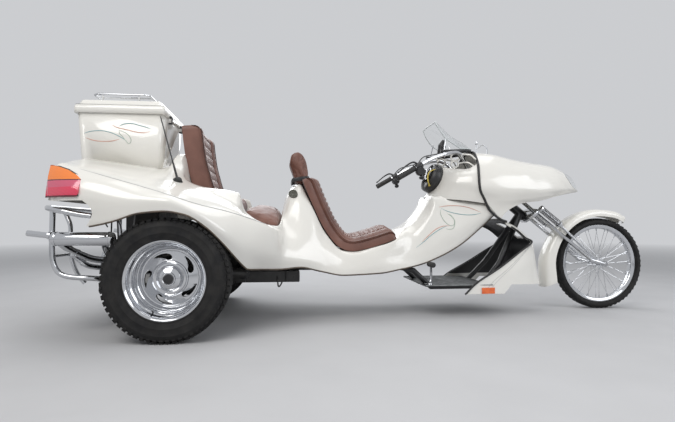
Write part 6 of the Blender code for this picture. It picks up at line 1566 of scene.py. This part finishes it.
pulley = turned("pulley", CRANK_Z, (-0.505, -0.512, -0.516, -0.524, -0.528, -0.536),
                [0.088, 0.088, 0.078, 0.078, 0.088, 0.084], 48)
dynamo = turned("dynamo", DYNAMO_Z, (-0.436, -0.446, -0.500, -0.512), [0.040, 0.052, 0.052, 0.046], 40)
small = turned("small_pulley", DYNAMO_Z, (-0.512, -0.516, -0.520, -0.528, -0.532, -0.538),
               [0.050, 0.050, 0.042, 0.042, 0.050, 0.046], 40)
dress(joined([pulley, small], "belt_pulleys"), cast, "chassis", angle=40)
dress(dynamo, black, "chassis", angle=40)
belt = []
for turn in np.linspace(0, math.pi, 15):
    belt.append((-0.520 + REAR_AXLE, -CRANK_BELT * math.cos(turn), CRANK_Z - CRANK_BELT * math.sin(turn)))
for turn in np.linspace(0, math.pi, 15):
    belt.append((-0.524 + REAR_AXLE, DYNAMO_BELT * math.cos(turn), DYNAMO_Z + DYNAMO_BELT * math.sin(turn)))
dress(swept("fan_belt", belt, 0.0052, 8, closed=True), rubber, "chassis", angle=60)


# Exhaust: one chromed muffler each side, fed by bent header pipes, with a straight tail pipe
# The can has rounded ends and two raised seams; each header is held to it by a clamp ring.
PIPE_OUT = 0.665
CAN = ((-0.626, 0.5375, 0.024), (-0.6245, 0.5375, 0.0300), (-0.618, 0.537, 0.0345), (-0.612, 0.537, 0.0365),
       (-0.316, 0.535, 0.0365), (-0.309, 0.535, 0.0345), (-0.303, 0.535, 0.0290), (-0.300, 0.535, 0.020))
TAIL_PIPE = ((-0.604, 0.545, 0.0175), (-0.640, 0.5545, 0.0175), (-0.641, 0.5545, 0.0160),
             (-0.744, 0.567, 0.0160),
             (-0.7465, 0.5673, 0.0150), (-0.7465, 0.5673, 0.0138), (-0.735, 0.566, 0.0138))
HEADERS = (
    (0.019, [(-0.330, 0.655, 0.535), (-0.345, 0.640, 0.530), (-0.390, 0.56, 0.50), (-0.40, 0.45, 0.43),
             (-0.39, 0.385, 0.392)]),
    (0.019, [(-0.588, 0.650, 0.515), (-0.560, 0.61, 0.482), (-0.512, 0.55, 0.443), (-0.471, 0.50, 0.418),
             (-0.420, 0.445, 0.405), (-0.360, 0.39, 0.388)]),
    (0.0155, [(-0.565, 0.545, 0.450), (-0.545, 0.52, 0.420), (-0.511, 0.50, 0.386), (-0.475, 0.47, 0.370),
              (-0.425, 0.435, 0.365), (-0.300, 0.389, 0.372)]),
)
# Near-black for the tail pipes' bores: soot, and painted shade for the hollow inside of the pipe.
soot_and_bore_shade, _ = mottled("soot_and_bore_shade", (0.012, 0.011, 0.010), 0.9, 60, (0.006, 0.006, 0.006), (0.022, 0.020, 0.018))


def straight(name, rows, side, sides):
    """A turned part of the muffler: each row is a place along, a height and a radius."""
    path = placed([(x, PIPE_OUT, z) for x, z, _ in rows], side)
    return swept(name, path, [radius for _, _, radius in rows], sides)


for side, word in SIDES:
    parts = [straight("can", CAN, side, 40), straight("tail", TAIL_PIPE, side, 28),
             straight("collar", ((-0.629, 0.553, 0.0200), (-0.641, 0.5550, 0.0200)), side, 28)]
    for x in (-0.600, -0.330):
        parts.append(straight("seam", ((x - 0.003, 0.5367, 0.0380), (x + 0.003, 0.5365, 0.0380)), side, 40))
    routes = [(size, placed(faired(points, 8), side)) for size, points in HEADERS]
    parts += [swept("header", route, size, 20) for size, route in routes]
    for size, route in routes:
        near, heading = route[12], route[13] - route[12]
        after = near + heading / np.linalg.norm(heading) * 0.014
        parts.append(swept("clamp", [near, after], size + 0.0032, 20))
    whole = joined(parts, "exhaust_pipes_" + word)
    dress(whole, chrome, "chassis", ["exhaust_" + word], 40)
    # A near-black disc just inside each tail pipe stands for soot and for the shade of its open bore.
    bore = straight("tail_bore_" + word, ((-0.7355, 0.5661, 0.0140), (-0.733, 0.566, 0.0140)), side, 24)
    dress(bore, soot_and_bore_shade, "chassis", angle=40)


# Rear guard: chromed tube, a hoop round the tail with a loop down each side to the frame
# The tubes are bent cold and brazed; two uprights tie the hoop to the loops.
HOOP_TUBE, POST_TUBE, BRACE_TUBE, BEAD = 0.0150, 0.0125, 0.0085, 0.0178
hoop = faired([(-0.397, -0.735, 0.657), (-0.47, -0.738, 0.668), (-0.54, -0.735, 0.682),
               (-0.60, -0.715, 0.693), (-0.642, -0.672, 0.701),
               (-0.666, -0.600, 0.705), (-0.674, -0.45, 0.706), (-0.675, -0.30, 0.706),
               (-0.675, 0, 0.706)], 6)
tubes = [swept("hoop", placed(mirrored(hoop)), HOOP_TUBE, 20)]
for side in (-1, 1):
    loop = faired([(-0.667, 0.56, 0.702), (-0.668, 0.56, 0.60), (-0.668, 0.56, 0.50),
                   (-0.664, 0.56, 0.43), (-0.654, 0.56, 0.385),
                   (-0.632, 0.56, 0.350), (-0.600, 0.56, 0.331), (-0.550, 0.56, 0.321), (-0.480, 0.55, 0.315),
                   (-0.425, 0.52, 0.305), (-0.425, 0.44, 0.275), (-0.46, 0.34, 0.240),
                   (-0.53, 0.16, 0.207)], 6)
    tubes.append(swept("loop", placed(loop, side), HOOP_TUBE, 20))
    post = faired([(-0.672, 0.42, 0.703), (-0.650, 0.42, 0.66), (-0.626, 0.43, 0.60),
                   (-0.622, 0.44, 0.50), (-0.612, 0.44, 0.41),
                   (-0.585, 0.43, 0.33), (-0.545, 0.42, 0.272)], 6)
    tubes.append(swept("post", placed(post, side), POST_TUBE, 18))
    brace = faired([(-0.665, 0.56, 0.437), (-0.64, 0.51, 0.440), (-0.614, 0.445, 0.442)], 6)
    tubes.append(swept("brace", placed(brace, side), BRACE_TUBE, 14))
    for x, y, z in ((-0.666, 0.56, 0.690), (-0.670, 0.42, 0.692)):
        tubes.append(swept("bead", placed([(x, y, z - 0.004), (x, y, z + 0.004)], side), BEAD, 18))
dress(joined(tubes, "rear_guard"), chrome, "chassis", ["bumper"], 40)
edge = [(x, z) for x, z in notch if x > -0.6][1:]
outs = [body_side(x + 0.006, min(max(z, 0.61), 0.728)) - 0.004 for x, z in edge]
outs = np.convolve(np.pad(outs, 3, mode="edge"), np.ones(7) / 7, "valid")
spots = [(x, y, z) for (x, z), y in zip(edge, outs)]
strokes = [swept("lip", faired(placed(spots, side), 4), 0.0040, 8) for side in (-1, 1)]
dress(joined(strokes, "notch_rubber"), rubber, "chassis", angle=60)


# The battery boxes slung under the sills, each with its breather hose
# Folded black sheet with rolled edges, hung from the frame rails by straps.
boxes = []
for side in (-1, 1):
    loops = []
    for x, grow in ((0.284, -0.006), (0.288, 0.0), (0.700, 0.0), (0.704, -0.006)):
        loops.append([(x + REAR_AXLE, side * (0.235 + dy), z) for dy, z in (
            (-0.065 - grow, 0.252 - grow), (0.060 + grow, 0.250 - grow), (0.065 + grow, 0.256 - grow),
            (0.065 + grow, 0.318 + grow), (-0.065 - grow, 0.318 + grow))])
    boxes.append(loft_of("box", loops))
    for x in (0.36, 0.62):
        boxes.append(swept("strap", placed([(x, 0.302, 0.322), (x, 0.302, 0.252)], side), 0.006, 8))
    hose = [(0.56, 0.29, 0.30), (0.565, 0.31, 0.262), (0.57, 0.31, 0.225), (0.585, 0.30, 0.235),
            (0.60, 0.29, 0.27)]
    boxes.append(swept("hose", faired(placed(hose, side), 6), 0.0045, 8))
dress(joined(boxes, "battery_boxes"), black, "chassis", angle=35)


# Floor of the foot well: a thin dark steel sheet with pressed ribs, and two foot pegs
# Plate and pegs keep the frame's solids; ribs, lips and rubber rings are added.
kept("floor_plate", satin, 0.001, 40)
ribs = []
for y in np.linspace(-0.24, 0.24, 9):
    rib = [(1.545, y, 0.2136), (1.56, y, 0.2144), (1.94, y, 0.2144), (1.955, y, 0.2136)]
    ribs.append(swept("rib", placed(rib), 0.0026, 8))
for side in (-1, 1):
    ribs.append(swept("lip", placed([(1.522, 0.298, 0.2150), (1.978, 0.298, 0.2150)], side), 0.0032, 8))
steel, _ = mottled("worn_steel", (0.30, 0.31, 0.31), 0.42, 22, (0.20, 0.21, 0.21), (0.40, 0.41, 0.41), 1.0)
dress(joined(ribs, "floor_ribs"), steel, "chassis", angle=60)
PEG_RINGS, PEG_PITCH = 7, 0.0135
for side, word in SIDES:
    kept("pedal_" + word, chrome, 0.0, 40)
    bands = []
    for i in range(PEG_RINGS):
        y = side * (0.292 + PEG_PITCH * i)
        ring = [(1.549 + REAR_AXLE, y + dy, 0.355) for dy in (-0.0042, -0.003, 0.003, 0.0042)]
        bands.append(swept("peg_ring", ring, [0.0150, 0.0172, 0.0172, 0.0150], 20))
    dress(joined(bands, "peg_rubber_" + word), rubber, "chassis", angle=60)


# Every node that still shows is welded, so that its faces meet
for one in node.values():
    if not one.hide_render:
        weld(one)
